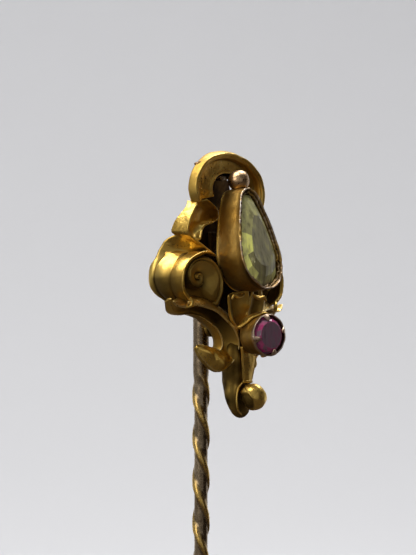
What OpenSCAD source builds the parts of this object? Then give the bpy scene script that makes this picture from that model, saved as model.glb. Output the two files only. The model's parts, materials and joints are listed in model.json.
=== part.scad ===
// Stick pin: a jewelled scrollwork head, stamped and soldered, on a twisted pin stem.
// Millimetres. +Z runs up the stem towards the head, and -Y is the front of the head.
// The origin is on the stem's axis, at the middle of the plain shank.

/* [Stem] */
// Diameter of the plain shank
shank_d = 1.2; // [1:0.05:1.4]
// Length of the plain shank, between the point and the twist
shank_length = 29; // [16:1:50]
// Length of the tapered point
point_length = 6; // [3:0.5:10]
// Length of the twisted part
twist_length = 24; // [10:1:36]
// Length of one full turn of the twist, which is left-handed
twist_lead = 6.4; // [4:0.1:9]

/* [Head] */
// Height of the head, from the foot of the drop to the top of the hood
head_height = 20; // [18:0.5:24]
// Gauge of the stamped sheet
sheet = 0.24; // [0.2:0.02:0.3]
// Radius of the bead above the pear stone
bead_r = 0.8; // [0.6:0.05:0.9]

/* [Stones] */
// Radius of the pear setting's round end
pear_big_r = 2.54; // [2.3:0.02:2.6]
// Radius of the pear setting's narrow end
pear_small_r = 0.98; // [0.8:0.02:1.1]
// Distance between the centres of the pear's two ends
pear_span = 4.36; // [4:0.02:4.4]
// Lean of the pear setting's face, which brings its foot forward
pear_lean = 13.6; // [8:0.2:15]
// Radius of the round setting's rim
round_r = 1.54; // [1.3:0.02:1.6]
// Sideways turn of the round setting
round_turn = 13; // [0:1:14]

/* [Hidden] */

k = head_height / 20;                       // the head is drawn 20 high and scaled by k
neck_length = 3.5 * k;                      // plain wire between the twist and the drop's middle
head_z = shank_length / 2 + twist_length - neck_length;
stem_top = head_z + 13 * k;
shank_r = shank_d / 2;
land_r = shank_r + 0.06;                    // the twist's two raised threads
flute_r = shank_r - 0.09;                   // and the hollows between them
core_r = flute_r - 0.06;
pad_f = 0.6;                                // depths in front of the stem's axis
frame_f = 0.8;
frame_t = 0.45;
rib_t = 0.35;
hood_z = 17;                                // centre of the hood's arch
hood_back_f = 2.12;
pear_f = 5.7;                               // centre of the pear's round end, at its face
pear_z = 11.92;
pear_back_f = 3.4;                          // the same at the back of the setting
pear_back_lean = 7;
round_x = 0.18;                             // centre of the round setting's base
round_z = 6.08;
round_base_f = 4.7;
round_depth = 2;
round_root_f = 4.22;                        // the post's end, behind the setting's root
round_post_z = 6.75;

// A point of the head: x to the right, f forwards, z up from the foot of the drop.
function at(x, f, z) = [x * k, -f * k, head_z + z * k];
function at3(p) = at(p[0], p[1], p[2]);

// ---- curves ----
function blend(a, b, t) = a + (b - a) * t;
function sum(v, i = 0) = i >= len(v) ? 0 * v[0] : v[i] + sum(v, i + 1);
function mean(v) = sum(v) / len(v);
function unit(v) = v / max(norm(v), 1e-9);
function spline_point(a, b, c, d, t) =
    0.5 * (2 * b + (c - a) * t + (2 * a - 5 * b + 4 * c - d) * t * t
        + (3 * b - 3 * c + d - a) * t * t * t);
// A smooth curve through the points p, with n steps between each two.
function spline(p, n) = [
    for (i = [0 : len(p) - 2], j = [0 : n - 1])
        spline_point(p[max(i - 1, 0)], p[i], p[i + 1], p[min(i + 2, len(p) - 1)], j / n),
    p[len(p) - 1]
];
// The value of the list p at share t of its length.
function along(p, t) =
    let (u = t * (len(p) - 1), i = min(floor(u), len(p) - 2)) blend(p[i], p[i + 1], u - i);

// ---- solids from points ----
function flat_list(g) = [for (row = g) each row];
function quad(a, b, c, d) = [[a, b, c], [a, c, d]];
function walls(n, m, rows) = [for (i = [0 : rows - 1], j = [0 : m - 1])
    each quad(i * m + (j + 1) % m, i * m + j, ((i + 1) % n) * m + j, ((i + 1) % n) * m + (j + 1) % m)];
// A closed solid through rings of points, which turn anticlockwise as seen from the last ring.
module skin(rings) {
    n = len(rings);
    m = len(rings[0]);
    points = concat(flat_list(rings), [mean(rings[0]), mean(rings[n - 1])]);
    ends = [for (j = [0 : m - 1])
        each [[n * m, j, (j + 1) % m], [n * m + 1, (n - 1) * m + (j + 1) % m, (n - 1) * m + j]]];
    polyhedron(points, concat(walls(n, m, n - 1), ends));
}
// A closed wall round an opening: the last ring joins the first.
module ring_skin(rings) polyhedron(flat_list(rings), walls(len(rings), len(rings[0]), len(rings)));
// The grid g of points moved by d along its own normals.
function shifted(g, d) = let (n = len(g), m = len(g[0])) [
    for (i = [0 : n - 1]) [
        for (j = [0 : m - 1])
            g[i][j] + d * unit(cross(g[min(i + 1, n - 1)][j] - g[max(i - 1, 0)][j],
                g[i][min(j + 1, m - 1)] - g[i][max(j - 1, 0)]))
    ]
];
// A sheet of thickness t, centred on the grid g.
module sheet_solid(g, t) {
    n = len(g);
    m = len(g[0]);
    b = n * m;
    points = concat(flat_list(shifted(g, t / 2)), flat_list(shifted(g, -t / 2)));
    faces = [for (i = [0 : n - 2], j = [0 : m - 2]) let (a = i * m + j) each concat(
        quad(a, a + 1, a + m + 1, a + m), quad(b + a, b + a + m, b + a + m + 1, b + a + 1))];
    long_edges = [for (i = [0 : n - 2]) let (a = i * m, c = i * m + m - 1) each concat(
        quad(a, a + m, b + a + m, b + a), quad(c + m, c, b + c, b + c + m))];
    short_edges = [for (j = [0 : m - 2]) let (c = (n - 1) * m + j) each concat(
        quad(j + 1, j, b + j, b + j + 1), quad(c, c + 1, b + c + 1, b + c))];
    polyhedron(points, concat(faces, long_edges, short_edges));
}
// A flat plate whose outline is in the head's x and z, from depth f forwards by t.
module plate(f, t) {
    translate(at(0, f, 0)) rotate([90, 0, 0]) linear_extrude(t * k) scale(k) children();
}
module rod(r, x, z, f1, f2) {
    translate(at(x, f1, z)) rotate([90, 0, 0]) cylinder(r = r * k, h = (f2 - f1) * k, $fn = 48);
}

// ---- stem ----
// The twisted part's section: two narrow raised threads with wide hollows between them.
function twist_section(n = 32) = [for (i = [0 : n - 1])
    let (a = 360 * i / n, r = blend(flute_r, land_r, pow(abs(cos(a)), 5)))
        r * [cos(a), sin(a)]];
module pin_stem() color("goldenrod") {
    bottom = -shank_length / 2;
    rotate_extrude($fn = 64) polygon([
        [0, bottom - point_length], [0.06, bottom - point_length + 0.05],
        [shank_r * 0.72, bottom - point_length * 0.42], [shank_r, bottom],
        [shank_r, -bottom], [core_r, -bottom], [core_r, -bottom + twist_length],
        [shank_r, -bottom + twist_length], [shank_r, stem_top - shank_r / 2],
        [shank_r / 2, stem_top], [0, stem_top]]);
    translate([0, 0, -bottom]) difference() {
        linear_extrude(twist_length, twist = 360 * twist_length / twist_lead, slices = 90)
            polygon(twist_section());
        translate([0, 0, -1]) cylinder(r = core_r - 0.1, h = twist_length + 2, $fn = 32);
    }
}

// ---- back ----
module stem_pad() color("darkgoldenrod")
    plate(pad_f, frame_f - pad_f) translate([0, 9.5]) scale([0.85, 1.6]) circle(1, $fn = 48);
// A shaped plate behind the settings, with two arms that carry the side leaves.
module back_frame() color("goldenrod") {
    plate(frame_f, frame_t) {
        translate([0, 16.8]) circle(2.1, $fn = 64);
        polygon([[-2.1, 16.8], [-1.6, 13.5], [-1.9, 11.2], [-2.6, 9.6], [-2.3, 8], [-0.7, round_post_z],
            [0.7, round_post_z], [2.3, 8], [2.6, 9.6], [1.9, 11.2], [1.6, 13.5], [2.1, 16.8]]);
        translate([-4.6, 10.2]) square([9.2, 1]);
        translate([0, round_post_z]) circle(0.7, $fn = 48);
    }
    plate(frame_f + frame_t, rib_t) translate([-0.75, 10.2]) square([1.5, 3.7]);
}
module hood_post() color("darkgoldenrod") rod(0.45, 0, 18.25, frame_f + frame_t, hood_back_f);
module pear_post() color("darkgoldenrod") rod(0.6, 0, 12.1, frame_f + frame_t + rib_t, 3.15);
module round_post() color("goldenrod") {
    rod(0.45, 0, round_post_z, frame_f + frame_t, round_root_f);
    for (f = [2.0, 2.9, 3.8]) rod(0.55, 0, round_post_z, f, f + 0.3);
}

// ---- hood ----
hood_sizes = [[4.45, 3.12], [4.25, 2.85], [1.85, 1.4]]; // half widths and heights: back, rim, inner edge
hood_end = 22;                                          // degrees that the arch runs on below its centre
function hood_arch(size, a) = [-size[0] * cos(a), hood_z + size[1] * sin(a)];
// Each pair: how far the section is from the rim, -1 at the back and 1 at the inner edge, and its depth.
hood_section = [[-1, 2.35], [-0.75, 2.5], [-0.35, 2.7], [-0.05, 2.83], [0.06, 2.83], [0.12, 2.68],
    [0.2, 2.42], [0.38, 2.24], [0.62, 2.22], [0.85, 2.32], [1, 2.45]];
function hood_point(a, s) = let (
    rim = hood_arch(hood_sizes[1], a),
    edge = hood_arch(hood_sizes[s[0] < 0 ? 0 : 2], a),
    p = blend(rim, edge, abs(s[0]))) at(p[0], s[1], p[1]);
module hood_shell() color("gold") sheet_solid(
    [for (a = [-hood_end : 5.6 : 180 + hood_end]) [for (s = hood_section) hood_point(a, s)]],
    sheet * k);
module hood_back() color("goldenrod") plate(hood_back_f - 0.2, 0.2) polygon(concat(
    [for (a = [-hood_end : 5.6 : 180 + hood_end]) hood_arch([3.8, 2.55], a)],
    [for (a = [180 + hood_end : -5.6 : -hood_end]) hood_arch([1.5, 1.1], a)]));
module top_bead() color("darksalmon")
    translate(at(0, 3.6, 17.7)) sphere(bead_r * k, $fn = 64);

// ---- side leaves ----
roll_x = -4;                                // middle of the leaf's rolled lower part
roll_z = 10.35;
roll_r = 2;
// The leaf's back and front edges, from the hood's end to the foot of the roll.
leaf_back_edge = spline([[-4.05, 1.95, 15.95], [-4.5, 2.15, 15.5], [-4.95, 1.6, 14.55], [-5.1, 1.35, 13.75],
    [-4.9, 1.5, 13.5], [-5.15, 0.85, 13.1], [-5.5, 0.45, 12.4], [-5.7, 0.3, 11.8],
    [-5.9, -0.1, 11.05], [-5.95, -0.15, 10.25], [-5.8, -0.05, 9.6], [-5.4, 0.15, 9.1], [-4.8, 0.4, 8.65]], 4);
leaf_front_edge = spline([[-4, 2.75, 15.75], [-4.3, 2.75, 15.4], [-4.8, 2.7, 14.55], [-5, 2.65, 13.75],
    [-4.65, 2.75, 13.25], [-3.65, 2.95, 12.7], [-2.45, 3.25, 12], [-3.5, 3.28, 12.12],
    [-4.9, 3.25, 11.7], [-5.7, 3.2, 11.05], [-6, 3.15, 10.25], [-5.85, 3.1, 9.3], [-5.2, 3.05, 8.7]], 4);
leaf_inner_edge = spline([[-2.2, 2.3, 16.2], [-0.8, 2.15, 15.6], [-0.7, 2, 14.8], [-2.1, 2, 14.3],
    [-2.6, 2.1, 13.8], [-3.2, 2.4, 13.2]], 4);
leaf_creases = [0, 0.16, 0.64, 1];          // where the roll's lobes meet, from back to front
leaf_swells = [0.12, 0.3, 0.22];            // how far each lobe stands out
function lobe_swell(t) = let (
    i = t < leaf_creases[1] ? 0 : t < leaf_creases[2] ? 1 : 2,
    u = (t - leaf_creases[i]) / (leaf_creases[i + 1] - leaf_creases[i])) leaf_swells[i] * sin(180 * u);
function leaf_wall_point(s, t) = let (
    p = blend(along(leaf_back_edge, s), along(leaf_front_edge, s), t),
    out = unit([p[0] - roll_x, 0, p[2] - roll_z]),
    rolled = min(1, max(0, (s - 0.35) * 4)))
    at3(p + rolled * lobe_swell(t) * out);
function leaf_dish_point(s, t) = let (
    p = blend(along(leaf_front_edge, s * 0.36), along(leaf_inner_edge, s), t))
    at(p[0], p[1] - 0.5 * sin(180 * t), p[2]);
module leaf_left() color("gold") {
    lobe_steps = [0, 0.05, 0.1, 0.16, 0.22, 0.3, 0.4, 0.5, 0.58, 0.64, 0.7, 0.78, 0.86, 0.93, 1];
    sheet_solid([for (i = [0 : 36]) [for (t = lobe_steps) leaf_wall_point(i / 36, t)]], sheet * k);
    sheet_solid([for (i = [0 : 12]) [for (j = [0 : 6]) leaf_dish_point(i / 12, j / 6)]], sheet * k);
}
module leaf_right() mirror([1, 0, 0]) leaf_left();
module leaf_back_left() color("goldenrod") plate(0.3, 0.25)
    translate([roll_x, roll_z]) circle(roll_r - 0.25, $fn = 64);
module leaf_back_right() mirror([1, 0, 0]) leaf_back_left();

// ---- volutes inside the rolls ----
volute_eye = [-4.2, 3.35, 10.3];
volute_from = -52;                          // the coil's first and last angles, about its eye
volute_to = 400;
function volute_arm(a) = 1.95 * exp(-0.0062 * a);
function volute_centre(a) = volute_eye
    + [volute_arm(a) * cos(a), -0.15 * volute_arm(a), volute_arm(a) * sin(a)];
function volute_ring(a, n = 10) = let (r = 0.42 * volute_arm(a) * min(1, 0.35 + (a - volute_from) / 90))
    [for (i = [0 : n - 1]) at3(volute_centre(a)
        + r * (cos(360 * i / n) * [cos(a), 0, sin(a)] - sin(360 * i / n) * [0, 1, 0]))];
module volute_left() color("gold") {
    skin([for (i = [0 : 32]) volute_ring(blend(volute_from, volute_to, i / 32))]);
    plate(1.95, 0.75) {
        translate([roll_x, roll_z]) circle(roll_r - 0.2, $fn = 64);
        translate([volute_eye[0], volute_eye[2]]) polygon(concat([[0, 0]],
            [for (a = [volute_from : 8 : 100]) volute_arm(a) * [cos(a), sin(a)]]));
    }
}
module volute_right() mirror([1, 0, 0]) volute_left();

// ---- C-scrolls ----
// Outer rim and inner ridge, from the outer end over the arch and round to the tip of the horn.
scroll_rim = spline([[-6.85, 2.65, 8.65], [-6.4, 2.75, 8.2], [-5.7, 2.9, 8.1], [-4.65, 3.1, 8.25],
    [-3.75, 3.35, 8.15], [-2.9, 3.6, 7.9], [-2, 3.85, 7.32], [-1.2, 4.1, 6.52], [-0.75, 4.2, 5.45],
    [-0.9, 4, 4.5], [-1.45, 3.7, 3.76], [-1.95, 3.35, 3.46], [-2.5, 3, 3.7], [-3.1, 2.6, 4.4],
    [-3.45, 2.3, 5.15]], 4);
scroll_ridge = spline([[-6.75, 2.4, 8.45], [-6.1, 2.3, 7.8], [-5.45, 2.35, 7.55], [-4.55, 2.65, 7.6],
    [-3.55, 2.9, 7.33], [-2.75, 3.1, 6.92], [-2.2, 3.25, 6.5], [-1.85, 3.35, 5.92], [-1.72, 3.35, 5.45],
    [-1.75, 3.25, 5.1], [-1.85, 3.1, 5], [-2.05, 2.9, 5.12], [-2.4, 2.68, 5.25], [-2.95, 2.5, 5.35],
    [-3.4, 2.28, 5.3]], 4);
// How hollow the face is, how wide the bevel above its rim, and how deep its sides.
scroll_hollow = [0, 0.05, 0.15, 0.25, 0.3, 0.35, 0.4, 0.4, 0.35, 0.1, -0.25, -0.4, -0.4, -0.3, -0.05];
scroll_bevel = [0.05, 0.2, 0.5, 0.7, 0.75, 0.7, 0.55, 0.35, 0.2, 0.12, 0.1, 0.1, 0.1, 0.08, 0.02];
scroll_deep = [0.5, 0.75, 0.8, 0.8, 0.8, 0.85, 0.85, 0.85, 0.85, 0.85, 0.8, 0.7, 0.55, 0.35, 0.1];
function scroll_ring(t) = let (
    rim = along(scroll_rim, t),
    ridge = along(scroll_ridge, t),
    out = unit([rim[0] - ridge[0], 0, rim[2] - ridge[2]]),
    h = along(scroll_hollow, t),
    e = along(scroll_bevel, t),
    back = [0, -along(scroll_deep, t), 0])
    [for (p = [rim + e * out + 0.75 * back, rim + e * out + 0.45 * back, rim,
            blend(rim, ridge, 0.12), blend(rim, ridge, 0.3) - [0, 0.75 * h, 0],
            blend(rim, ridge, 0.52) - [0, h, 0], blend(rim, ridge, 0.75) - [0, 0.75 * h, 0],
            blend(rim, ridge, 0.93), ridge, ridge + back]) at3(p)];
module scroll_left() color("gold") skin([for (i = [0 : 56]) scroll_ring(i / 56)]);
module scroll_right() mirror([1, 0, 0]) scroll_left();

// ---- pear setting ----
// The right half of a pear from foot to tip: two end arcs joined by a long side arc.
function pear_half(big, small, span, side = 14, n = 8) = let (
    a = side - big,
    b = side - small,
    cy = (a * a - b * b + span * span) / (2 * span),
    cx = -sqrt(a * a - cy * cy),
    a1 = atan2(-cy, -cx),
    a2 = atan2(span - cy, -cx))
    concat(
        [for (i = [0 : n - 1]) let (u = blend(-90, a1, i / n)) big * [cos(u), sin(u)]],
        [for (i = [0 : n]) let (u = blend(a1, a2, i / n)) [cx, cy] + side * [cos(u), sin(u)]],
        [for (i = [1 : n / 2]) let (u = blend(a2, 90, i / (n / 2))) [0, span] + small * [cos(u), sin(u)]]);
function pear_outline(inset = 0) = let (
    right = pear_half(pear_big_r - inset, pear_small_r - inset, pear_span))
    concat(right, [for (i = [len(right) - 2 : -1 : 1]) [-right[i][0], right[i][1]]]);
// A point of a leaning plane: u across, v up along it, w out of its face.
function leaning(f, z, lean, u, v, w) = at(u,
    f - v * sin(lean) + w * cos(lean),
    z + v * cos(lean) + w * sin(lean));
function on_face(u, v, w) = leaning(pear_f, pear_z, pear_lean, u, v, w);
function on_back(u, v, w) = leaning(pear_back_f, pear_z - 0.1, pear_back_lean, u, v, w);
pear_taper = 0.9;                           // the setting is narrower at its back
pear_lip = 0.32;                            // width of the rubbed-over rim
function face_ring(inset, w) = [for (p = pear_outline(inset)) on_face(p[0], p[1], w)];
function back_ring(inset, w) = [for (p = pear_outline(inset))
    on_back(p[0] * pear_taper, p[1] * 0.98, w)];
function scaled_ring(s, v, w) = [for (p = pear_outline(0)) on_face(p[0] * s, v + p[1] * s, w)];
module pear_collet() color("peru") ring_skin([
    back_ring(0, 0), face_ring(0, 0), face_ring(0.1, 0.14), face_ring(pear_lip, 0.12),
    face_ring(pear_lip + 0.08, 0), face_ring(pear_lip, -0.1), face_ring(pear_lip, -0.45),
    face_ring(pear_lip + 0.3, -0.5), back_ring(0.42, 0)]);
module pear_back() color("goldenrod") skin([back_ring(0, -0.22), back_ring(0, 0)]);
module pear_foil() color("lightyellow") skin([back_ring(0.5, 0.02), back_ring(0.5, 0.08)]);
module pear_stone() color("khaki") skin([scaled_ring(0.15, 1, -1.7), scaled_ring(0.62, 0.35, -1.1),
    face_ring(pear_lip + 0.04, -0.4), face_ring(pear_lip + 0.04, -0.3),
    face_ring(pear_lip + 0.12, -0.12), scaled_ring(0.62, 0.35, 0.3)]);

// ---- calyx leaves under the pear ----
calyx_line = spline([[-0.5, 4, 6.4], [-0.85, 4.3, 7.2], [-1.25, 4.55, 8.05], [-1.55, 4.65, 8.95]], 4);
calyx_half = [0.12, 0.65, 0.9, 0.75];
function calyx_point(t, q) = let (p = along(calyx_line, t), w = along(calyx_half, t))
    at(p[0] + q * w * 0.9, p[1] - 0.4 * (1 - q * q) * w, p[2] + 0.15 * q * w);
module calyx_left() color("goldenrod") sheet_solid(
    [for (i = [0 : 12]) [for (j = [-4 : 4]) calyx_point(i / 12, j / 4)]], sheet * k);
module calyx_right() mirror([1, 0, 0]) calyx_left();

// ---- round setting ----
// Moves what stands on its own base, +Z towards the front, to the round setting's place.
module round_place() {
    translate(at(round_x, round_base_f, round_z)) rotate([90, 0, 0]) rotate([0, -round_turn, 0]) children();
}
claw_count = 4;
module round_collet() color("peru") round_place() {
    rotate_extrude($fn = 64) scale(k) polygon([[0, -0.42], [0.8, -0.42], [1.1, 0], [1.38, 0.2], [1.47, 0.7],
        [round_r, round_depth], [round_r - 0.1, round_depth + 0.1], [round_r - 0.2, round_depth + 0.02],
        [round_r - 0.24, 1.36], [1.1, 1.28], [0.85, 0.3], [0, 0.3]]);
    for (i = [0 : claw_count - 1]) rotate([0, 0, 360 / claw_count * i + 10])
        translate([(round_r - 0.62) * k, -0.2 * k, (round_depth - 0.02) * k]) cube([0.5, 0.4, 0.16] * k);
}
module round_foil() color("thistle") round_place()
    translate([0, 0, 0.32 * k]) cylinder(r = 0.75 * k, h = 0.06 * k, $fn = 48);
function octagon(r, z, turn) = [for (i = [0 : 7]) [r * cos(45 * i + turn), r * sin(45 * i + turn), z]];
module round_stone() color("purple") round_place() scale(k)
    skin([octagon(0.1, 0.6, 22.5), octagon(1.26, 1.45, 22.5), octagon(1.26, 1.55, 22.5), octagon(0.8, 1.92, 0)]);
// A leaf-edged collar over the top of the round setting, from one side round to the other.
husk_from = 20;                             // degrees above the setting's middle
function husk_point(a, t) = let (
    b = 180 * (a - husk_from) / (180 - 2 * husk_from),
    f = blend(0.1 + 0.55 * sin(b), 0.15 + 1.3 * sqrt(max(0, sin(b))), t))
    [1.64 * cos(a) * k, 1.64 * sin(a) * k, f * k];
module collet_husk() color("gold") round_place() sheet_solid(
    [for (i = [0 : 20]) [for (t = [0 : 0.25 : 1]) husk_point(blend(husk_from, 180 - husk_from, i / 20), t)]],
    0.2 * k);

// ---- drop ----
// The stalk's middle line down to its foot, and its half sizes across and deep.
stalk_line = spline([[0, 3.65, 6.6], [0, 3.5, 5.9], [0, 3.4, 5.2], [0, 3.38, 4.4], [0, 3.36, 3.4], [0, 3.32, 2.5], [0, 3.35, 1.7],
    [0, 3.5, 0.98], [0, 3.65, 0.42], [0, 3.72, 0.1], [0, 3.72, 0]], 3);
stalk_half = [[0.3, 0.3], [0.75, 0.6], [1.2, 0.95], [1.32, 1.15], [1.2, 1.15], [1.1, 1.05], [1.15, 0.82], [1.0, 0.8], [0.8, 0.62],
    [0.45, 0.35], [0.1, 0.1]];
function stalk_ring(t, n = 24) = let (p = along(stalk_line, t), s = along(stalk_half, t))
    [for (i = [0 : n - 1]) let (a = 360 * i / n, dent = 1 - 0.08 * pow(sin(2 * a), 2))
        at(p[0] + s[0] * dent * cos(a), p[1] + s[1] * dent * sin(a), p[2])];
module drop_stalk() color("gold") skin([for (i = [0 : 30]) stalk_ring(i / 30)]);
module drop_ball() color("gold") translate(at(0, 5, 1.6)) sphere(0.88 * k, $fn = 64);

pin_stem();
stem_pad();
back_frame();
hood_post();
hood_back();
hood_shell();
top_bead();
leaf_left();
leaf_right();
leaf_back_left();
leaf_back_right();
volute_left();
volute_right();
scroll_left();
scroll_right();
pear_post();
pear_back();
pear_foil();
pear_collet();
pear_stone();
calyx_left();
calyx_right();
collet_husk();
round_post();
round_collet();
round_foil();
round_stone();
drop_stalk();
drop_ball();
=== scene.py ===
import json
import math
import bpy
import bmesh
import numpy as np
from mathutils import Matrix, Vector, noise


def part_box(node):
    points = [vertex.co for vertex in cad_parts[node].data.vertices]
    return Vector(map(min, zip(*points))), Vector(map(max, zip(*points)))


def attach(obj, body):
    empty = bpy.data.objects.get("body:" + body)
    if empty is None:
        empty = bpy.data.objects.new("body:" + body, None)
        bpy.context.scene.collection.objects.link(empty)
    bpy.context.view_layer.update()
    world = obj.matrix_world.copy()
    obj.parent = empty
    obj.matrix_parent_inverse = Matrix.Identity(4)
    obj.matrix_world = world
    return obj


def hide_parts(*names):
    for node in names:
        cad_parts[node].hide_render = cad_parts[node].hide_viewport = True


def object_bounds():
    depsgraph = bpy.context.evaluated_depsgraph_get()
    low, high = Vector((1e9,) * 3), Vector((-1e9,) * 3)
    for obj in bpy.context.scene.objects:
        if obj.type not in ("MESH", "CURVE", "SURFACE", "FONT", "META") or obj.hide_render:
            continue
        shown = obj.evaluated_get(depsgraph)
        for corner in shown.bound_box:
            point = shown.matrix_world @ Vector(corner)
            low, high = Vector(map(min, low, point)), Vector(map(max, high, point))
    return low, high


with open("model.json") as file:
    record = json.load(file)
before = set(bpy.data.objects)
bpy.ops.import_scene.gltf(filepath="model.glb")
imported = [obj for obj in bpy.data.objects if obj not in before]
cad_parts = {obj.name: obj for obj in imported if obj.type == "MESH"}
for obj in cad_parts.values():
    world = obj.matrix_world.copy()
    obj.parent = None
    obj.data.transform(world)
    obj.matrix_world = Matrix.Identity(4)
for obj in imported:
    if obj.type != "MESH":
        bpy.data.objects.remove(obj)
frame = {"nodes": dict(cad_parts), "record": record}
noise.seed_set(5)                               # the unevenness of the metal is the same each run
cadCorners = [list(corner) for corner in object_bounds()]

# Every piece of the head is drawn as x to the right, forward, and up from the foot of the drop.
ballLow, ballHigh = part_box("drop_ball")
headUnit = (ballHigh.z - ballLow.z) / 1.76      # the ball is 1.76 across in the head's own units
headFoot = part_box("drop_stalk")[0].z
shank = frame["record"]["mounts"][0]


def toPlace(points):
    p = np.asarray(points, float)
    return np.stack([p[..., 0] * headUnit, -p[..., 1] * headUnit, headFoot + p[..., 2] * headUnit], -1)


def newObject(name, data):
    item = bpy.data.objects.new(name, data)
    bpy.context.scene.collection.objects.link(item)
    return item


# Camera, backdrop and lights
studio = {
    "turn": -52, "rise": -3, "distance": 0.17, "lens": 145.6,
    "aimRight": 0.00053, "aimUp": 10.56,        # the middle of the view, beside and above the drop's foot
    # lamps: right, up and towards the camera from the aim, in metres, size, watts, colour
    "lamps": {
        "windowLamp": (-0.24, 0.52, 0.04, 0.44, 2.9, (1.0, 0.985, 0.95)),
        "topLamp": (0.16, 0.52, -0.26, 0.36, 2.7, (1.0, 1.0, 1.0)),
        "fillLamp": (-0.34, 0.20, 0.42, 0.30, 0.55, (1.0, 0.95, 0.88)),
        "backdropLamp": (-0.05, 0.50, -0.40, 0.40, 2.5, (0.98, 0.985, 1.0)),
        "roomLamp": (0.0, 1.1, 0.10, 0.9, 1.4, (1.0, 1.0, 1.0)),
    },
    # dark cards: right, up and towards the camera, half width, half height, tilt of the face up
    "cards": {
        "lowCard": (0.0, -0.058, 0.10, 0.30, 0.30, 90),
        "rightCard": (0.30, 0.0, 0.12, 0.22, 0.26, 0),
    },
    "paper": (0.60, 0.60, 0.612), "wallAt": 1.0, "wallTop": 1.6, "bend": 0.40,
    "air": (0.30, 0.285, 0.27), "airLight": 0.12,
}


def buildStudio():
    turn, rise = math.radians(studio["turn"]), math.radians(studio["rise"])
    toCamera = Vector((math.sin(turn) * math.cos(rise), -math.cos(turn) * math.cos(rise), math.sin(rise)))
    right = Vector((math.cos(turn), math.sin(turn), 0))
    aim = right * studio["aimRight"] + Vector((0, 0, headFoot + studio["aimUp"] * headUnit))
    camera = newObject("camera", bpy.data.cameras.new("camera"))
    camera.data.lens = studio["lens"]
    camera.data.sensor_width = 36
    camera.data.clip_start = 0.005
    camera.location = aim + toCamera * studio["distance"]
    camera.rotation_euler = toCamera.to_track_quat("Z", "Y").to_euler()
    bpy.context.scene.camera = camera

    away = Vector((-toCamera.x, -toCamera.y, 0)).normalized()
    for name, (r, u, t, size, power, colour) in studio["lamps"].items():
        lamp = newObject(name, bpy.data.lights.new(name, "AREA"))
        lamp.data.size = size
        lamp.data.energy = power
        lamp.data.color = colour
        lamp.location = aim + right * r + Vector((0, 0, u)) - away * t
        target = aim if name != "backdropLamp" else aim + away * 0.9
        lamp.rotation_euler = (lamp.location - target).to_track_quat("Z", "Y").to_euler()

    # dark cards, unseen by the camera, keep the metal's lower and right sides deep
    for name, (r, u, t, w, h, tilt) in studio["cards"].items():
        middle = aim + right * r + Vector((0, 0, u)) - away * t
        sideways = right if tilt else away
        upright = away if tilt else Vector((0, 0, 1))
        corners = [middle + sideways * (w * i) + upright * (h * j)
                   for i, j in ((-1, -1), (1, -1), (1, 1), (-1, 1))]
        mesh = bpy.data.meshes.new(name)
        mesh.from_pydata([tuple(c) for c in corners], [], [[0, 1, 2, 3]])
        card = newObject(name, mesh)
        card.visible_camera = False
        card.visible_shadow = False
        tree, shader, place = newFinish(name)
        nap = cloudy(tree, place, 40.0)
        setInput(tree, shader, "Base Color", mixTone(tree, nap, (0.030, 0.022, 0.016), (0.05, 0.036, 0.028)))
        shader.inputs["Roughness"].default_value = 0.95
        mesh.materials.append(bpy.data.materials[name])

    # one round sheet: floor, a wide bend, and a wall all the way round
    floorZ = cadCorners[0][2] - 0.0001
    bend, wallAt = studio["bend"], studio["wallAt"]
    profile = [(0.001, 0), (0.1, 0), (0.3, 0), (wallAt - bend, 0)]
    profile += [(wallAt - bend + bend * math.sin(a), bend * (1 - math.cos(a)))
                for a in np.radians(np.linspace(3, 90, 30))]
    profile += [(wallAt, 1.0), (wallAt, studio["wallTop"])]
    points = np.array([[(d * math.cos(a), d * math.sin(a), floorZ + h) for d, h in profile]
                       for a in np.linspace(0, 2 * math.pi, 96, endpoint=False)])
    mesh = bpy.data.meshes.new("backdrop")
    mesh.from_pydata([tuple(p) for p in points.reshape(-1, 3)], [],
                     gridFaces(*points.shape[:2], wrapRows=True))
    mesh.shade_smooth()
    backdrop = newObject("backdrop", mesh)
    tree, shader, place = newFinish("backdropPaper")
    fibre = cloudy(tree, place, 9.0, 3.0)
    pale = studio["paper"]
    setInput(tree, shader, "Base Color", mixTone(tree, fibre, tuple(c * 0.985 for c in pale), pale))
    shader.inputs["Roughness"].default_value = 0.9
    backdrop.data.materials.append(bpy.data.materials["backdropPaper"])

    world = bpy.data.worlds.new("room")
    bpy.context.scene.world = world
    world.use_nodes = True
    world.node_tree.nodes["Background"].inputs["Color"].default_value = (*studio["air"], 1)
    world.node_tree.nodes["Background"].inputs["Strength"].default_value = studio["airLight"]
    bpy.context.scene.view_settings.view_transform = "Standard"
    bpy.context.scene.view_settings.look = "None"


# Finishes
def setInput(tree, node, name, value):
    socket = node.inputs[name]
    if isinstance(value, bpy.types.NodeSocket):
        tree.links.new(value, socket)
    elif hasattr(socket.default_value, "__len__") and len(socket.default_value) == 4 and len(value) == 3:
        socket.default_value = (*value, 1)
    else:
        socket.default_value = value


def addNode(tree, kind, settings=None, **inputs):
    node = tree.nodes.new(kind)
    for key, value in (settings or {}).items():
        setattr(node, key, value)
    for key, value in inputs.items():
        setInput(tree, node, key.replace("_", " "), value)
    return node


def newFinish(name):
    material = bpy.data.materials.new(name)
    material.use_nodes = True
    tree = material.node_tree
    return tree, tree.nodes["Principled BSDF"], addNode(tree, "ShaderNodeTexCoord").outputs["Object"]


def cloudy(tree, place, scale, detail=2.0, rough=0.5):
    return addNode(tree, "ShaderNodeTexNoise", Vector=place, Scale=scale, Detail=detail,
                   Roughness=rough).outputs["Fac"]


def streaky(tree, place, scales, detail, rough=0.5):
    drawn = addNode(tree, "ShaderNodeMapping", Vector=place, Scale=scales).outputs["Vector"]
    return cloudy(tree, drawn, 1.0, detail, rough)


def readMark(tree, name):
    return addNode(tree, "ShaderNodeAttribute", {"attribute_name": name}).outputs["Fac"]


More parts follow.
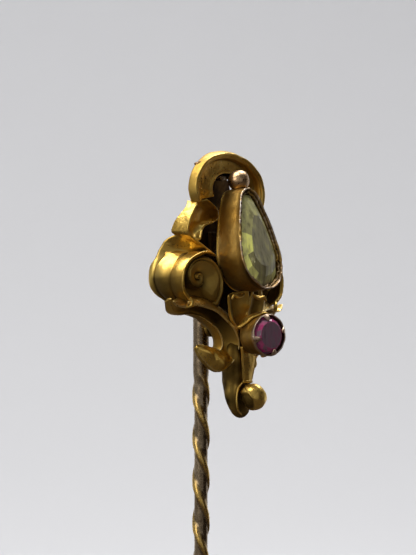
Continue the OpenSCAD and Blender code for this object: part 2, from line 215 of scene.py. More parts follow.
def mixTone(tree, share, dark, light):
    node = addNode(tree, "ShaderNodeMix", {"data_type": "RGBA"})
    setInput(tree, node, "Factor", share)
    for socket, value in ((node.inputs[6], dark), (node.inputs[7], light)):
        if isinstance(value, bpy.types.NodeSocket):
            tree.links.new(value, socket)
        else:
            socket.default_value = (*value, 1)
    return node.outputs[2]


def span(tree, value, low, high, outLow=0.0, outHigh=1.0):
    node = addNode(tree, "ShaderNodeMapRange", {"interpolation_type": "SMOOTHSTEP"}, Value=value)
    for key, number in (("From Min", low), ("From Max", high), ("To Min", outLow), ("To Max", outHigh)):
        node.inputs[key].default_value = number
    return node.outputs["Result"]


def calc(tree, operation, a, b=None):
    node = tree.nodes.new("ShaderNodeMath")
    node.operation = operation
    for socket, value in zip(node.inputs, (a, b)):
        if isinstance(value, bpy.types.NodeSocket):
            tree.links.new(value, socket)
        elif value is not None:
            socket.default_value = value
    return node.outputs[0]


def raised(tree, height, depth, strength, under=None):
    node = addNode(tree, "ShaderNodeBump", Height=height, Strength=strength, Distance=depth)
    if under is not None:
        tree.links.new(under, node.inputs["Normal"])
    return node.outputs["Normal"]


def goldFinish(name, bright, deep, grimeAndShadeTone, rough=(0.2, 0.34), dents=0.5, grain=0.35, scratches=0.3,
               hollowReach=0.0005, wearAndSheen=(0.80, 0.70, 0.60)):
    # Worn gold: patchy tone, grime with painted shade in the hollows and wherever a piece is marked darker,
    # rubbed edges that in places carry a painted highlight, fine grain
    tree, shader, place = newFinish(name)
    patches = cloudy(tree, place, 420.0, 3.0)
    specks = cloudy(tree, place, 5200.0, 4.0, 0.6)
    # painted shade: occlusion darkens recesses toward the grime tone, together with real grime
    openness = addNode(tree, "ShaderNodeAmbientOcclusion", {"samples": 6},
                       Distance=hollowReach).outputs["AO"]
    grimeAndShadeShare = calc(tree, "MULTIPLY", span(tree, openness, 0.55, 0.08),
                 span(tree, specks, 0.25, 0.6, 0.45, 1.0))
    # each piece's mark adds painted shade on undersides, creases and channels, with some dirt
    sooty = calc(tree, "MULTIPLY", readMark(tree, "sooty"), span(tree, patches, 0.2, 0.6, 0.8, 1.05))
    grimeAndShadeShare = calc(tree, "MINIMUM", calc(tree, "MAXIMUM", grimeAndShadeShare, sooty), 1.0)
    base = mixTone(tree, span(tree, patches, 0.3, 0.7), deep, bright)
    base = mixTone(tree, span(tree, specks, 0.62, 0.8, 0.0, 0.35), base, deep)
    # worn rims take the paler tone; on the scroll's bevel and beads it is partly a painted highlight
    rubbed = calc(tree, "MULTIPLY", readMark(tree, "rubbed"), span(tree, specks, 0.25, 0.6, 0.5, 1.0))
    base = mixTone(tree, rubbed, base, wearAndSheen)
    setInput(tree, shader, "Base Color", mixTone(tree, grimeAndShadeShare, base, grimeAndShadeTone))
    shader.inputs["Metallic"].default_value = 1.0
    glossy = span(tree, specks, 0.3, 0.75, rough[0], rough[1])
    setInput(tree, shader, "Roughness", calc(tree, "ADD", glossy, calc(tree, "MULTIPLY", grimeAndShadeShare, 0.35)))
    normal = raised(tree, cloudy(tree, place, 1500.0), 0.00006, dents)
    lines = streaky(tree, place, (900.0, 2600.0, 9000.0), 5.0, 0.7)
    normal = raised(tree, lines, 0.000012, scratches, normal)
    normal = raised(tree, cloudy(tree, place, 16000.0), 0.000008, grain, normal)
    pits = addNode(tree, "ShaderNodeTexVoronoi", {"feature": "SMOOTH_F1"}, Vector=place,
                   Scale=5200.0).outputs["Distance"]
    pits = calc(tree, "MULTIPLY", span(tree, pits, 0.15, 0.6), readMark(tree, "pitted"))
    normal = raised(tree, pits, 0.00003, 0.8, normal)
    tree.links.new(normal, shader.inputs["Normal"])
    return bpy.data.materials[name]


def gemFinish(name, table, side, edge, clear, ior, paintedGlow):
    # Cut stone: one tone for the table, another for the facets, a painted highlight on the small edge facets,
    # and a painted glow that stands in for light off the foil
    tree, shader, place = newFinish(name)
    facet, wearAndSheen = readMark(tree, "facet"), readMark(tree, "edge")
    streaks = streaky(tree, place, (3000.0, 3000.0, 500.0), 3.0)
    share = calc(tree, "MULTIPLY", facet, span(tree, cloudy(tree, place, 1300.0, 4.0), 0.3, 0.65, 0.8, 1.0))
    share = calc(tree, "ADD", share, span(tree, streaks, 0.5, 0.75, 0.0, 0.3))
    tone = mixTone(tree, calc(tree, "MINIMUM", share, 1.0), table, side)
    tone = mixTone(tree, span(tree, streaks, 0.5, 0.3, 0.0, 0.6), tone, tuple(c * 0.35 for c in table))
    # painted highlight: the small marked edge facets turn pale and less clear
    setInput(tree, shader, "Base Color", mixTone(tree, wearAndSheen, tone, edge))
    solid = calc(tree, "MAXIMUM", wearAndSheen, calc(tree, "MULTIPLY", facet, 0.7))
    passing = calc(tree, "MULTIPLY", calc(tree, "SUBTRACT", 1.0, solid), clear)
    setInput(tree, shader, "Transmission Weight", passing)
    shader.inputs["IOR"].default_value = ior
    # painted glow: the facets give off light that stands in for light off the foil
    setInput(tree, shader, "Emission Color", tone)
    setInput(tree, shader, "Emission Strength", calc(tree, "MULTIPLY", share, paintedGlow))
    setInput(tree, shader, "Roughness", span(tree, cloudy(tree, place, 7000.0, 3.0), 0.45, 0.75, 0.02, 0.12))
    return bpy.data.materials[name]


def foilFinish(name, pale, deep):
    tree, shader, place = newFinish(name)
    folds = cloudy(tree, place, 700.0)
    setInput(tree, shader, "Base Color", mixTone(tree, span(tree, folds, 0.35, 0.7), pale, deep))
    shader.inputs["Metallic"].default_value = 0.65
    shader.inputs["Roughness"].default_value = 0.38
    tree.links.new(raised(tree, folds, 0.00012, 0.7), shader.inputs["Normal"])
    return bpy.data.materials[name]


# Mesh making
def gridFaces(rows, cols, wrapRows=False, wrapCols=False, start=0):
    r, c = np.meshgrid(np.arange(rows if wrapRows else rows - 1),
                       np.arange(cols if wrapCols else cols - 1), indexing="ij")
    r2, c2 = (r + 1) % rows, (c + 1) % cols
    quads = np.stack([r * cols + c, r * cols + c2, r2 * cols + c2, r2 * cols + c], -1)
    return (quads.reshape(-1, 4) + start).tolist()


def smoothPath(points, steps):
    p = np.array(points, float)
    p = np.vstack([2 * p[0] - p[1], p, 2 * p[-1] - p[-2]])
    t = np.linspace(0, 1, steps, endpoint=False)[:, None]
    made = []
    for a, b, c, d in zip(p, p[1:], p[2:], p[3:]):
        made.append(0.5 * (2 * b + (c - a) * t + (2 * a - 5 * b + 4 * c - d) * t * t
                           + (3 * b - 3 * c + d - a) * t ** 3))
    return np.vstack(made + [p[-2:-1]])


def readPath(path, shares):
    path = np.asarray(path, float)
    u = np.clip(np.asarray(shares, float), 0, 1) * (len(path) - 1)
    i = np.minimum(u.astype(int), len(path) - 2)
    part = u - i
    if path.ndim > 1:
        part = part[..., None]
    return path[i] * (1 - part) + path[i + 1] * part


def unitRows(v):
    return v / np.maximum(np.linalg.norm(v, axis=-1, keepdims=True), 1e-9)


def uneven(points, amount, size, seed):
    flat = points.reshape(-1, 3) / size + np.array([seed * 7.3, seed * 3.1, seed * 5.7])
    moved = np.array([noise.noise_vector(Vector(p)) for p in flat])
    return points + moved.reshape(points.shape) * amount


def bumpy(points, size, seed):
    flat = points.reshape(-1, 3) / size + seed * 11.7
    return np.array([noise.noise(Vector(p)) for p in flat]).reshape(points.shape[:-1])


def newPiece(name, points, faces, flat=False, marks=None, placed=False):
    # One closed mesh. points are in the head's units, or in metres when placed
    mesh = bpy.data.meshes.new(name)
    points = np.asarray(points, float).reshape(-1, 3)
    if not placed:
        points = toPlace(points)
    mesh.from_pydata([tuple(p) for p in points], [], faces)
    for key, values in (marks or {}).items():
        layer = mesh.attributes.new(key, "FLOAT", "POINT")
        layer.data.foreach_set("value", np.asarray(values, np.float32).ravel())
    made = bmesh.new()
    made.from_mesh(mesh)
    bmesh.ops.remove_doubles(made, verts=made.verts, dist=3e-7)
    bmesh.ops.dissolve_degenerate(made, edges=made.edges, dist=1e-7)
    bmesh.ops.recalc_face_normals(made, faces=made.faces)
    made.to_mesh(mesh)
    made.free()
    if not flat:
        mesh.shade_smooth()
    return newObject(name, mesh)


def loft(rings, closed=False):
    # Points and faces of a solid through rings, which are each closed round
    rings = np.asarray(rings, float)
    rows, cols = rings.shape[:2]
    faces = gridFaces(rows, cols, closed, True)
    points = rings.reshape(-1, 3)
    if not closed:
        a, b = rows * cols, rows * cols + 1
        points = np.vstack([points, rings[0].mean(0), rings[-1].mean(0)])
        last = (rows - 1) * cols
        faces += [[a, (j + 1) % cols, j] for j in range(cols)]
        faces += [[b, last + j, last + (j + 1) % cols] for j in range(cols)]
    return points, faces


def edgeLoop(rows, cols):
    top = [(0, c) for c in range(cols)]
    side = [(r, cols - 1) for r in range(1, rows)]
    foot = [(rows - 1, c) for c in range(cols - 2, -1, -1)]
    back = [(r, 0) for r in range(rows - 2, 0, -1)]
    return np.array(top + side + foot + back)


def sheetSolid(grid, thick):
    # Points and faces of a sheet with rounded edges, centred on the grid
    grid = np.asarray(grid, float)
    rows, cols = grid.shape[:2]
    normal = unitRows(np.cross(np.gradient(grid, axis=0), np.gradient(grid, axis=1)))
    half = normal * thick / 2
    loop = edgeLoop(rows, cols)
    inner = np.clip(loop, 1, [rows - 2, cols - 2])
    edge = grid[loop[:, 0], loop[:, 1]]
    out = unitRows(edge - grid[inner[:, 0], inner[:, 1]])
    reach = np.linalg.norm(half[loop[:, 0], loop[:, 1]], axis=-1, keepdims=True)
    rim = edge + out * reach * 0.8
    n = rows * cols
    points = np.vstack([(grid + half).reshape(-1, 3), (grid - half).reshape(-1, 3), rim])
    faces = gridFaces(rows, cols)
    faces += [f[::-1] for f in gridFaces(rows, cols, start=n)]
    flat = (loop[:, 0] * cols + loop[:, 1]).tolist()
    count = len(flat)
    for i in range(count):
        j = (i + 1) % count
        a, b = flat[i], flat[j]
        c, d = 2 * n + j, 2 * n + i
        faces += [[b, a, d, c], [c, d, a + n, b + n]]
    return points, faces


def joined(*parts):
    # Puts several (points, faces) together
    points, faces, count = [], [], 0
    for p, f in parts:
        points.append(p)
        faces += [[i + count for i in face] for face in f]
        count += len(p)
    return np.vstack(points), faces


def bead(path, radius, sides=12):
    # A round wire along a path; radius is one number or one for each point
    path = np.asarray(path, float)
    radius = np.broadcast_to(radius, len(path))
    tangent = unitRows(np.gradient(path, axis=0))
    side = unitRows(np.cross(tangent, [0.02, 1, 0.01]))
    up = np.cross(side, tangent)
    turn = np.linspace(0, 2 * math.pi, sides, endpoint=False)
    rings = (path[:, None] + radius[:, None, None]
             * (side[:, None] * np.cos(turn)[None, :, None] + up[:, None] * np.sin(turn)[None, :, None]))
    return loft(rings)


def unitBall(rows, cols):
    lat = np.linspace(-90, 90, rows)[:, None] * math.pi / 180
    lon = np.linspace(0, 2 * math.pi, cols, endpoint=False)[None]
    return np.stack([np.cos(lat) * np.cos(lon), np.cos(lat) * np.sin(lon), np.sin(lat) + 0 * lon], -1)


def blob(centre, size, seed, rough, rows=14, cols=20):
    ball = uneven(unitBall(rows, cols), rough, 0.9, seed)
    return loft(np.asarray(centre) + ball * np.asarray(size))


def markAll(count, *runs):
    # One number for each of count points: nought, but for runs of a first point and its values
    values = np.zeros(count)
    for first, run in runs:
        values[first:first + np.size(run)] = np.ravel(run)
    return values


def turnOut(mesh):
    made = bmesh.new()
    made.from_mesh(mesh)
    bmesh.ops.recalc_face_normals(made, faces=made.faces)
    made.to_mesh(mesh)
    made.free()


def mirrored(points):
    return np.asarray(points) * np.array([-1, 1, 1])


def facets(piece, sideOf, glintOf):
    # one tone for each flat face, so that neighbouring facets differ, and a mark for the small facets that
    # take a painted highlight
    side = piece.data.attributes.new("facet", "FLOAT", "FACE")
    edge = piece.data.attributes.new("edge", "FLOAT", "FACE")
    side.data.foreach_set("value", np.array([sideOf(f) for f in piece.data.polygons], np.float32))
    edge.data.foreach_set("value", np.array([glintOf(f) for f in piece.data.polygons], np.float32))


def finish(piece, material, slotName, *nodes):
    piece.data.materials.append(material)
    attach(piece, "root")
    if nodes:
        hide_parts(*nodes)


def bakedTree(piece, tree, values):
    # Runs a Geometry Nodes tree with its named inputs and keeps the plain mesh
    modifier = piece.modifiers.new("shape", "NODES")
    modifier.node_group = tree
    sockets = {s.name: s.identifier for s in tree.interface.items_tree
               if s.item_type == "SOCKET" and s.in_out == "INPUT"}
    for key, value in values.items():
        modifier[sockets[key]] = value
    bpy.context.view_layer.update()
    made = bpy.data.meshes.new_from_object(piece.evaluated_get(bpy.context.evaluated_depsgraph_get()))
    piece.modifiers.remove(modifier)
    piece.data = made


buildStudio()
# the third colour of each gold is its grime tone, which also stands for painted shade; the scroll's bright
# worn tone is partly a painted highlight
gold = goldFinish("scrollGold", (0.92, 0.62, 0.15), (0.62, 0.38, 0.075), (0.035, 0.018, 0.005),
                  rough=(0.26, 0.42), wearAndSheen=(1.0, 0.80, 0.36))
leafGold = goldFinish("leafGold", (0.96, 0.68, 0.18), (0.68, 0.43, 0.09), (0.035, 0.018, 0.005),
                      rough=(0.26, 0.40), dents=0.45)
wallGold = goldFinish("colletGold", (0.78, 0.49, 0.13), (0.56, 0.31, 0.06), (0.03, 0.014, 0.005),
                      rough=(0.28, 0.45), scratches=0.6, wearAndSheen=(0.60, 0.54, 0.50))
beadGold = goldFinish("beadGold", (0.66, 0.45, 0.25), (0.42, 0.25, 0.12), (0.03, 0.015, 0.01),
                      rough=(0.24, 0.42), dents=0.4, wearAndSheen=(0.80, 0.66, 0.58))
# the stem's dark tones stand partly for painted shade in the grooves of its twist
stemGold = goldFinish("stemGold", (0.40, 0.31, 0.20), (0.20, 0.145, 0.085), (0.035, 0.022, 0.012),
                      rough=(0.20, 0.36), wearAndSheen=(0.84, 0.56, 0.15))
# stone tones: table, a bright side tone painted on the lit facets, a pale painted highlight for edge facets;
# the last number is a painted glow
pearGlass = gemFinish("pearGlass", (0.44, 0.40, 0.25), (1.0, 1.0, 0.26), (1.0, 1.0, 0.95), 0.35, 1.6, 0.22)
roundGlass = gemFinish("roundGlass", (0.36, 0.27, 0.34), (0.62, 0.04, 0.22), (1.0, 0.9, 1.0), 0.35, 1.6, 0.05)
pearFoil = foilFinish("pearFoil", (0.97, 0.98, 0.78), (0.75, 0.76, 0.45))
roundFoil = foilFinish("roundFoil", (0.85, 0.55, 0.75), (0.45, 0.15, 0.35))
print("studio and finishes ready")


# Pin stem
stem = {
    "twistLead": 0.0064, "land": 0.00006, "hollow": 0.00010, "runIn": 0.0012,
    "around": 56, "rows": 640,
}


def stemTree(material):
    tree = bpy.data.node_groups.new("twistedStem", "GeometryNodeTree")
    tree.interface.new_socket("Geometry", in_out="OUTPUT", socket_type="NodeSocketGeometry")
    for name in ("Point Z", "Taper Top Z", "Twist Foot Z", "Twist Top Z", "Stem Top Z", "Wire Radius",
                 "Land Height", "Hollow Depth", "Lead", "Run In"):
        tree.interface.new_socket(name, in_out="INPUT", socket_type="NodeSocketFloat")
    for name in ("Around", "Rows"):
        tree.interface.new_socket(name, in_out="INPUT", socket_type="NodeSocketInt")
    given = tree.nodes.new("NodeGroupInput").outputs
    result = tree.nodes.new("NodeGroupOutput")

    def m(operation, a, b=None):
        return calc(tree, operation, a, b)

    def ease(value, low, high):
        node = addNode(tree, "ShaderNodeMapRange", {"interpolation_type": "SMOOTHSTEP"}, Value=value)
        setInput(tree, node, "From Min", low)
        setInput(tree, node, "From Max", high)
        return node.outputs["Result"]

    grid = addNode(tree, "GeometryNodeMeshGrid", Size_X=1.0, Size_Y=1.0)
    tree.links.new(given["Around"], grid.inputs["Vertices X"])
    tree.links.new(given["Rows"], grid.inputs["Vertices Y"])
    position = tree.nodes.new("GeometryNodeInputPosition").outputs[0]
    where = addNode(tree, "ShaderNodeSeparateXYZ", Vector=position)
    angle = m("MULTIPLY", where.outputs["X"], 2 * math.pi)
    share = m("ADD", where.outputs["Y"], 0.5)
    height = m("SUBTRACT", given["Stem Top Z"], given["Point Z"])
    z = m("ADD", given["Point Z"], m("MULTIPLY", share, height))
    # two raised threads, each with a soft upper side and a steep lower side
    turned = m("ADD", angle, m("DIVIDE", m("MULTIPLY", z, 2 * math.pi), given["Lead"]))
    phase = m("FRACT", m("DIVIDE", turned, math.pi))
    steep = ease(phase, 0.02, 0.09)
    soft = m("SUBTRACT", 1.0, ease(phase, 0.22, 0.50))
    thread = m("MULTIPLY", steep, soft)
    twisted = m("MULTIPLY", ease(z, given["Twist Foot Z"], m("ADD", given["Twist Foot Z"], given["Run In"])),
                m("SUBTRACT", 1.0, ease(z, m("SUBTRACT", given["Twist Top Z"], given["Run In"]),
                                        given["Twist Top Z"])))
    lift = m("SUBTRACT", m("MULTIPLY", thread, m("ADD", given["Land Height"], given["Hollow Depth"])),
             given["Hollow Depth"])
    radius = m("ADD", given["Wire Radius"], m("MULTIPLY", twisted, lift))
    taperLength = m("SUBTRACT", given["Taper Top Z"], given["Point Z"])
    taper = m("DIVIDE", m("SUBTRACT", z, given["Point Z"]), taperLength)
    taper = m("POWER", m("MINIMUM", m("MAXIMUM", taper, 0.0), 1.0), 0.62)
    top = m("DIVIDE", m("SUBTRACT", given["Stem Top Z"], z), m("MULTIPLY", given["Wire Radius"], 0.5))
    top = m("POWER", m("MINIMUM", m("MAXIMUM", top, 0.0), 1.0), 0.5)
    radius = m("MULTIPLY", radius, m("MULTIPLY", taper, top))
    spot = addNode(tree, "ShaderNodeCombineXYZ", X=m("MULTIPLY", radius, m("COSINE", angle)),
                   Y=m("MULTIPLY", radius, m("SINE", angle)), Z=z)
    # thread crests are marked for the paler worn tone; the dark stem gold left between them is partly painted
    # shade
    keep = addNode(tree, "GeometryNodeStoreNamedAttribute", {"data_type": "FLOAT", "domain": "POINT"},
                   Geometry=grid.outputs["Mesh"], Name="rubbed", Value=m("MULTIPLY", thread, twisted))
    place = addNode(tree, "GeometryNodeSetPosition", Geometry=keep.outputs[0], Position=spot.outputs[0])
    merged = addNode(tree, "GeometryNodeMergeByDistance", Geometry=place.outputs[0], Distance=4e-7)
    smooth = addNode(tree, "GeometryNodeSetShadeSmooth", Geometry=merged.outputs[0])
    real = addNode(tree, "GeometryNodeRealizeInstances", Geometry=smooth.outputs[0])
    dressed = addNode(tree, "GeometryNodeSetMaterial", Geometry=real.outputs[0], Material=material)
    tree.links.new(dressed.outputs[0], result.inputs[0])
    return tree


def buildStem():
    low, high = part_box("pin_stem")
    half = shank["dims"]["length_mm"] / 2000
    middle = shank["pos_m"][2]
    piece = newObject("pin_wire", bpy.data.meshes.new("pin_wire"))
    bakedTree(piece, stemTree(stemGold), {
        "Point Z": low.z, "Taper Top Z": middle - half, "Twist Foot Z": middle + half,
        "Twist Top Z": headFoot + 3.5 * headUnit, "Stem Top Z": high.z,
        "Wire Radius": shank["dims"]["r_mm"] / 1000, "Land Height": stem["land"],
        "Hollow Depth": stem["hollow"], "Lead": stem["twistLead"], "Run In": stem["runIn"],
        "Around": stem["around"] + 1, "Rows": stem["rows"]})
    turnOut(piece.data)
    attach(piece, "root")
    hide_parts("pin_stem")


# Hood
hood = {
    "centreZ": 17, "ends": 22, "thick": 0.17,
    "back": (4.33, 2.96), "rim": (4.17, 2.76), "inner": (1.85, 1.4),
    # how far from the rim, -1 at the back and 1 at the inner edge, and how far forward
    "section": [(-1, 2.33), (-0.92, 2.36), (-0.75, 2.5), (-0.35, 2.7), (-0.08, 2.83), (0.02, 2.87),
                (0.07, 2.83), (0.1, 2.72), (0.125, 2.72), (0.145, 2.74), (0.165, 2.66), (0.2, 2.42),
                (0.28, 2.27), (0.4, 2.2), (0.62, 2.2), (0.82, 2.28), (0.93, 2.36), (1, 2.5)],
    # how much painted shade darkens it across the section: the outer wall, a groove by the rim and the steep
    # inner wall, the rim left bright
    "dirtAt": [-1, -0.5, -0.1, 0.0, 0.09, 0.12, 0.15, 0.17, 0.24, 0.32, 0.45, 0.8, 1],
    "dirt": [0.5, 0.42, 0.35, 0.0, 0.0, 0.7, 0.0, 0.45, 0.65, 0.25, 0.0, 0.0, 0.0],
    # spots of solder on its left side: place, size, seed, roughness
    "solder": [((-3.5, 2.35, 18.75), (0.15, 0.2, 0.15), 4, 0.25),
               ((-3.38, 2.5, 18.9), (0.12, 0.12, 0.1), 6, 0.12)],
}


def archPoint(size, angle):
    return np.stack([-size[0] * np.cos(angle), hood["centreZ"] + size[1] * np.sin(angle)], -1)


def buildHood():
    angles = np.radians(np.linspace(-hood["ends"], 180 + hood["ends"], 260))
    section = smoothPath(hood["section"], 4)
    rim, back, inner = (archPoint(hood[key], angles) for key in ("rim", "back", "inner"))
    grid = np.zeros((len(angles), len(section), 3))
    for j, (reach, forward) in enumerate(section):
        flat = rim + (back - rim) * -reach if reach < 0 else rim + (inner - rim) * reach
        grid[:, j, 0], grid[:, j, 2] = flat[:, 0], flat[:, 1]
        grid[:, j, 1] = forward
    grid[..., 1] += 0.05 * bumpy(grid, 0.9, 3)
    grid = uneven(grid, 0.05, 1.3, 1)
    points, faces = sheetSolid(grid, hood["thick"])
    floor = (section[:, 0] > 0.28) & (section[:, 0] < 0.97)
    dirt = np.interp(section[:, 0], hood["dirtAt"], hood["dirt"])
    marks = {name: markAll(len(points), (0, np.tile(values, 2 * len(angles))))
             for name, values in (("pitted", floor), ("sooty", dirt))}
    finish(newPiece("hood", points, faces, marks=marks), gold, "gold", "hood_shell")
    finish(newPiece("hood_solder", *joined(*(blob(*spot) for spot in hood["solder"]))), beadGold, "gold")


# Side leaves
leaf = {
    "thick": 0.19, "rollX": -4, "rollZ": 10.35,
    "backEdge": [(-4.05, 1.95, 15.95), (-4.5, 2.15, 15.5), (-4.95, 1.6, 14.55), (-5.1, 1.35, 13.75),
                 (-4.9, 1.5, 13.5), (-5.15, 0.85, 13.1), (-5.5, 0.45, 12.4), (-5.7, 0.3, 11.8),
                 (-5.9, -0.1, 11.05), (-5.95, -0.15, 10.25), (-5.8, -0.05, 9.6), (-5.4, 0.15, 9.1),
                 (-4.8, 0.4, 8.65)],
    "frontEdge": [(-4, 2.75, 15.75), (-4.3, 2.75, 15.4), (-4.8, 2.7, 14.55), (-5, 2.65, 13.75),
                  (-4.65, 2.75, 13.25), (-3.65, 2.95, 12.7), (-2.45, 3.25, 12), (-3.5, 3.28, 12.12),
                  (-4.9, 3.25, 11.7), (-5.7, 3.2, 11.05), (-6, 3.15, 10.25), (-5.85, 3.1, 9.3),
                  (-5.2, 3.05, 8.7)],
    "dishEdge": [(-2.2, 2.3, 16.2), (-0.8, 2.15, 15.6), (-0.7, 2, 14.8), (-2.1, 2, 14.3), (-2.6, 2.1, 13.8),
                 (-3.2, 2.4, 13.2)],
    "creases": (0, 0.15, 0.60, 1), "swells": (0.10, 0.24, 0.16),
}


def leafParts():
    backEdge, frontEdge = smoothPath(leaf["backEdge"], 16), smoothPath(leaf["frontEdge"], 16)
    dishEdge = smoothPath(leaf["dishEdge"], 16)
    s = np.linspace(0, 1, 170)
    t = np.unique(np.concatenate([np.linspace(0, 1, 40), [0.15, 0.17, 0.63, 0.65, 0.97, 0.985]]))
    a, b = readPath(backEdge, s)[:, None], readPath(frontEdge, s)[:, None]
    wall = a + (b - a) * t[None, :, None]
    out = unitRows((wall - [leaf["rollX"], 0, leaf["rollZ"]]) * [1, 0, 1])
    swell = np.zeros(len(t))
    for low, high, amount in zip(leaf["creases"], leaf["creases"][1:], leaf["swells"]):
        inside = (t >= low) & (t <= high)
        swell[inside] = amount * np.sin(np.pi * (t[inside] - low) / (high - low)) ** 1.1
    rolled = np.clip((s - 0.45) * 3, 0, 1)
    wall = wall + out * (rolled[:, None] * swell[None])[..., None]
    rough = np.clip(1 - rolled * 1.6, 0, 1)[:, None] * np.ones(len(t))[None]
    wall = wall + out * (0.03 * bumpy(wall, 0.35, 2) * rough)[..., None]
    wall = uneven(wall, 0.07, 1.2, 5)
    w = np.linspace(0, 1, 70)
    d = np.linspace(0, 1, 36)
    c, e = readPath(frontEdge, w * 0.36)[:, None], readPath(dishEdge, w)[:, None]
    dish = c + (e - c) * d[None, :, None]
    dish[..., 1] -= 0.6 * np.sin(np.pi * d)[None] ** 0.8
    dish[..., 1] += 0.07 * bumpy(dish, 0.5, 7)
    wallPart, dishPart = sheetSolid(wall, leaf["thick"]), sheetSolid(dish, leaf["thick"])
    ridge = readPath(frontEdge, np.linspace(0, 0.44, 60)) + [-0.02, 0.05, 0]
    lip = readPath(frontEdge, np.linspace(0.5, 1, 90)) + [-0.1, 0.02, 0.05]
    lip = lip + unitRows((lip - [leaf["rollX"], 0, leaf["rollZ"]]) * [1, 0, 1]) * 0.02
    curl = smoothPath([lip[-1], lip[-1] + [0.18, 0.15, -0.25], lip[-1] + [0.1, 0.1, -0.55],
                       lip[-1] + [-0.25, -0.2, -0.72]], 10)
    lip = np.vstack([lip, curl[1:]])
    ridgePart = bead(ridge, np.interp(np.linspace(0, 1, 60), [0, 0.1, 0.8, 1], [0.05, 0.11, 0.1, 0.06]))
    lipPart = bead(lip, np.interp(np.linspace(0, 1, len(lip)), [0, 0.06, 0.6, 0.85, 1],
                                  [0.05, 0.1, 0.1, 0.17, 0.07]))
    points, faces = joined(wallPart, dishPart, ridgePart, lipPart)
    # painted shade: darker on the roll's underside, in its creases, and in the dish's hollow and at its top
    # end
    low = np.clip((11.1 - wall[..., 2]) / 0.9, 0, 1) * rolled[:, None]
    crease = sum(np.exp(-((t - c) / 0.035) ** 2) for c in leaf["creases"][1:3])[None] * rolled[:, None]
    wallShadeAndDirt = np.clip(0.78 * low * (1 - np.exp(-(t / 0.08) ** 2))[None] + 0.35 * crease, 0, 0.9)
    dishShadeAndDirt = (0.12 * np.sin(np.pi * d)[None] ** 2 * np.ones(len(w))[:, None]
                + 0.5 * np.exp(-(w / 0.18) ** 2)[:, None] * d[None])
    pitted = markAll(len(points), (0, [rough * 0.35, rough * 0.35]))
    sooty = markAll(len(points), (0, [wallShadeAndDirt, wallShadeAndDirt]), (len(wallPart[0]), [dishShadeAndDirt, dishShadeAndDirt]))
    return points, faces, {"pitted": pitted, "sooty": sooty}


def buildLeaves():
    points, faces, marks = leafParts()
    finish(newPiece("left_leaf", points, faces, marks=marks), leafGold, "gold", "leaf_left")
    finish(newPiece("right_leaf", mirrored(points), faces, marks=marks), leafGold, "gold", "leaf_right")


# Volutes
volute = {"eyeX": -4.2, "eyeZ": 10.3, "reach": 1.9, "shrink": 0.0042, "disc": 1.85, "swell": 1.36,
          "floor": 2.5, "crest": 0.8, "climb": 0.14, "back": 1.95, "tilt": 0.26}


def voluteParts():
    around, rows = 260, 70
    turn = np.linspace(-52, 308, around, endpoint=False)
    arm = volute["reach"] * np.exp(-volute["shrink"] * turn)
    # distance from the eye to the round plate's edge in each direction
    dx, dz = leaf["rollX"] - volute["eyeX"], leaf["rollZ"] - volute["eyeZ"]
    along = dx * np.cos(np.radians(turn)) + dz * np.sin(np.radians(turn))
    disc = along + np.sqrt(along ** 2 - dx * dx - dz * dz + volute["disc"] ** 2)
    tail = np.clip((110 - turn) / 60, 0, 1)
    reach = arm * volute["swell"]
    edge = disc * (1 - tail) + np.maximum(reach, disc) * tail
    last = max(reach[0], disc[0])
    edge = np.where(turn > 270, disc + (last - disc) * ((turn - 270) / 38) ** 2, edge)
    share = np.linspace(0.0, 1, rows) ** 1.15
    r = 0.04 + share[:, None] * (edge[None] - 0.04)
    winding = np.log(volute["reach"] / r) / volute["shrink"]
    phase = np.mod((winding - turn[None]) / 360 + 0.04, 1)
    climb = volute["climb"]                      # the share of one turn in which the coil rises
    crest = np.where(phase < climb, np.sin(phase / climb * np.pi / 2),
                     np.cos((phase - climb) / (1 - climb) * np.pi / 2) ** 1.4)
    outside = np.clip((r / arm[None] - 1) / (volute["swell"] - 1), 0, 1)
    crest = np.where(r > arm[None], np.cos(outside * np.pi / 2), crest)
    tall = volute["crest"] * np.clip(r / 1.6, 0.25, 1) ** 0.8
    dome = 0.45 * np.exp(-(r / 0.9) ** 2)
    lean = volute["tilt"] * r * np.cos(np.radians(turn))[None]
    forward = volute["floor"] + tall * crest + dome + lean * (1 - (share[:, None]) ** 6 * 0.3)
    fall = np.clip((share[:, None] - 0.88) / 0.12, 0, 1)
    forward = forward - (forward - volute["back"] - 0.2) * fall ** 2
    x = volute["eyeX"] + r * np.cos(np.radians(turn))[None]
    z = volute["eyeZ"] + r * np.sin(np.radians(turn))[None]
    face = np.stack([x, forward, z], -1)
    face = uneven(face, 0.04, 0.7, 9)
    under = face[-1] * [1, 0, 1] + [0, volute["back"], 0]
    rings = np.concatenate([face, under[None]])
    # painted shade: darker in the hollow at the foot of each crest, on the lower side, and where the edge
    # falls back
    below = np.cos(np.radians(turn + 70))[None]
    sooty = 0.2 + 0.7 * np.exp(-((phase - 0.97) / 0.25) ** 2) + 0.35 * np.clip(below, 0, 1) + 0.3 * fall
    sooty = np.concatenate([np.clip(sooty, 0, 0.85), np.full((1, around), 0.6)])
    points, faces = loft(rings)
    return points, faces, {"sooty": np.append(sooty.ravel(), [0.2, 0.6])}


def buildVolutes():
    points, faces, marks = voluteParts()
    finish(newPiece("left_volute", points, faces, marks=marks), gold, "gold", "volute_left")
    finish(newPiece("right_volute", mirrored(points), faces, marks=marks), gold, "gold", "volute_right")


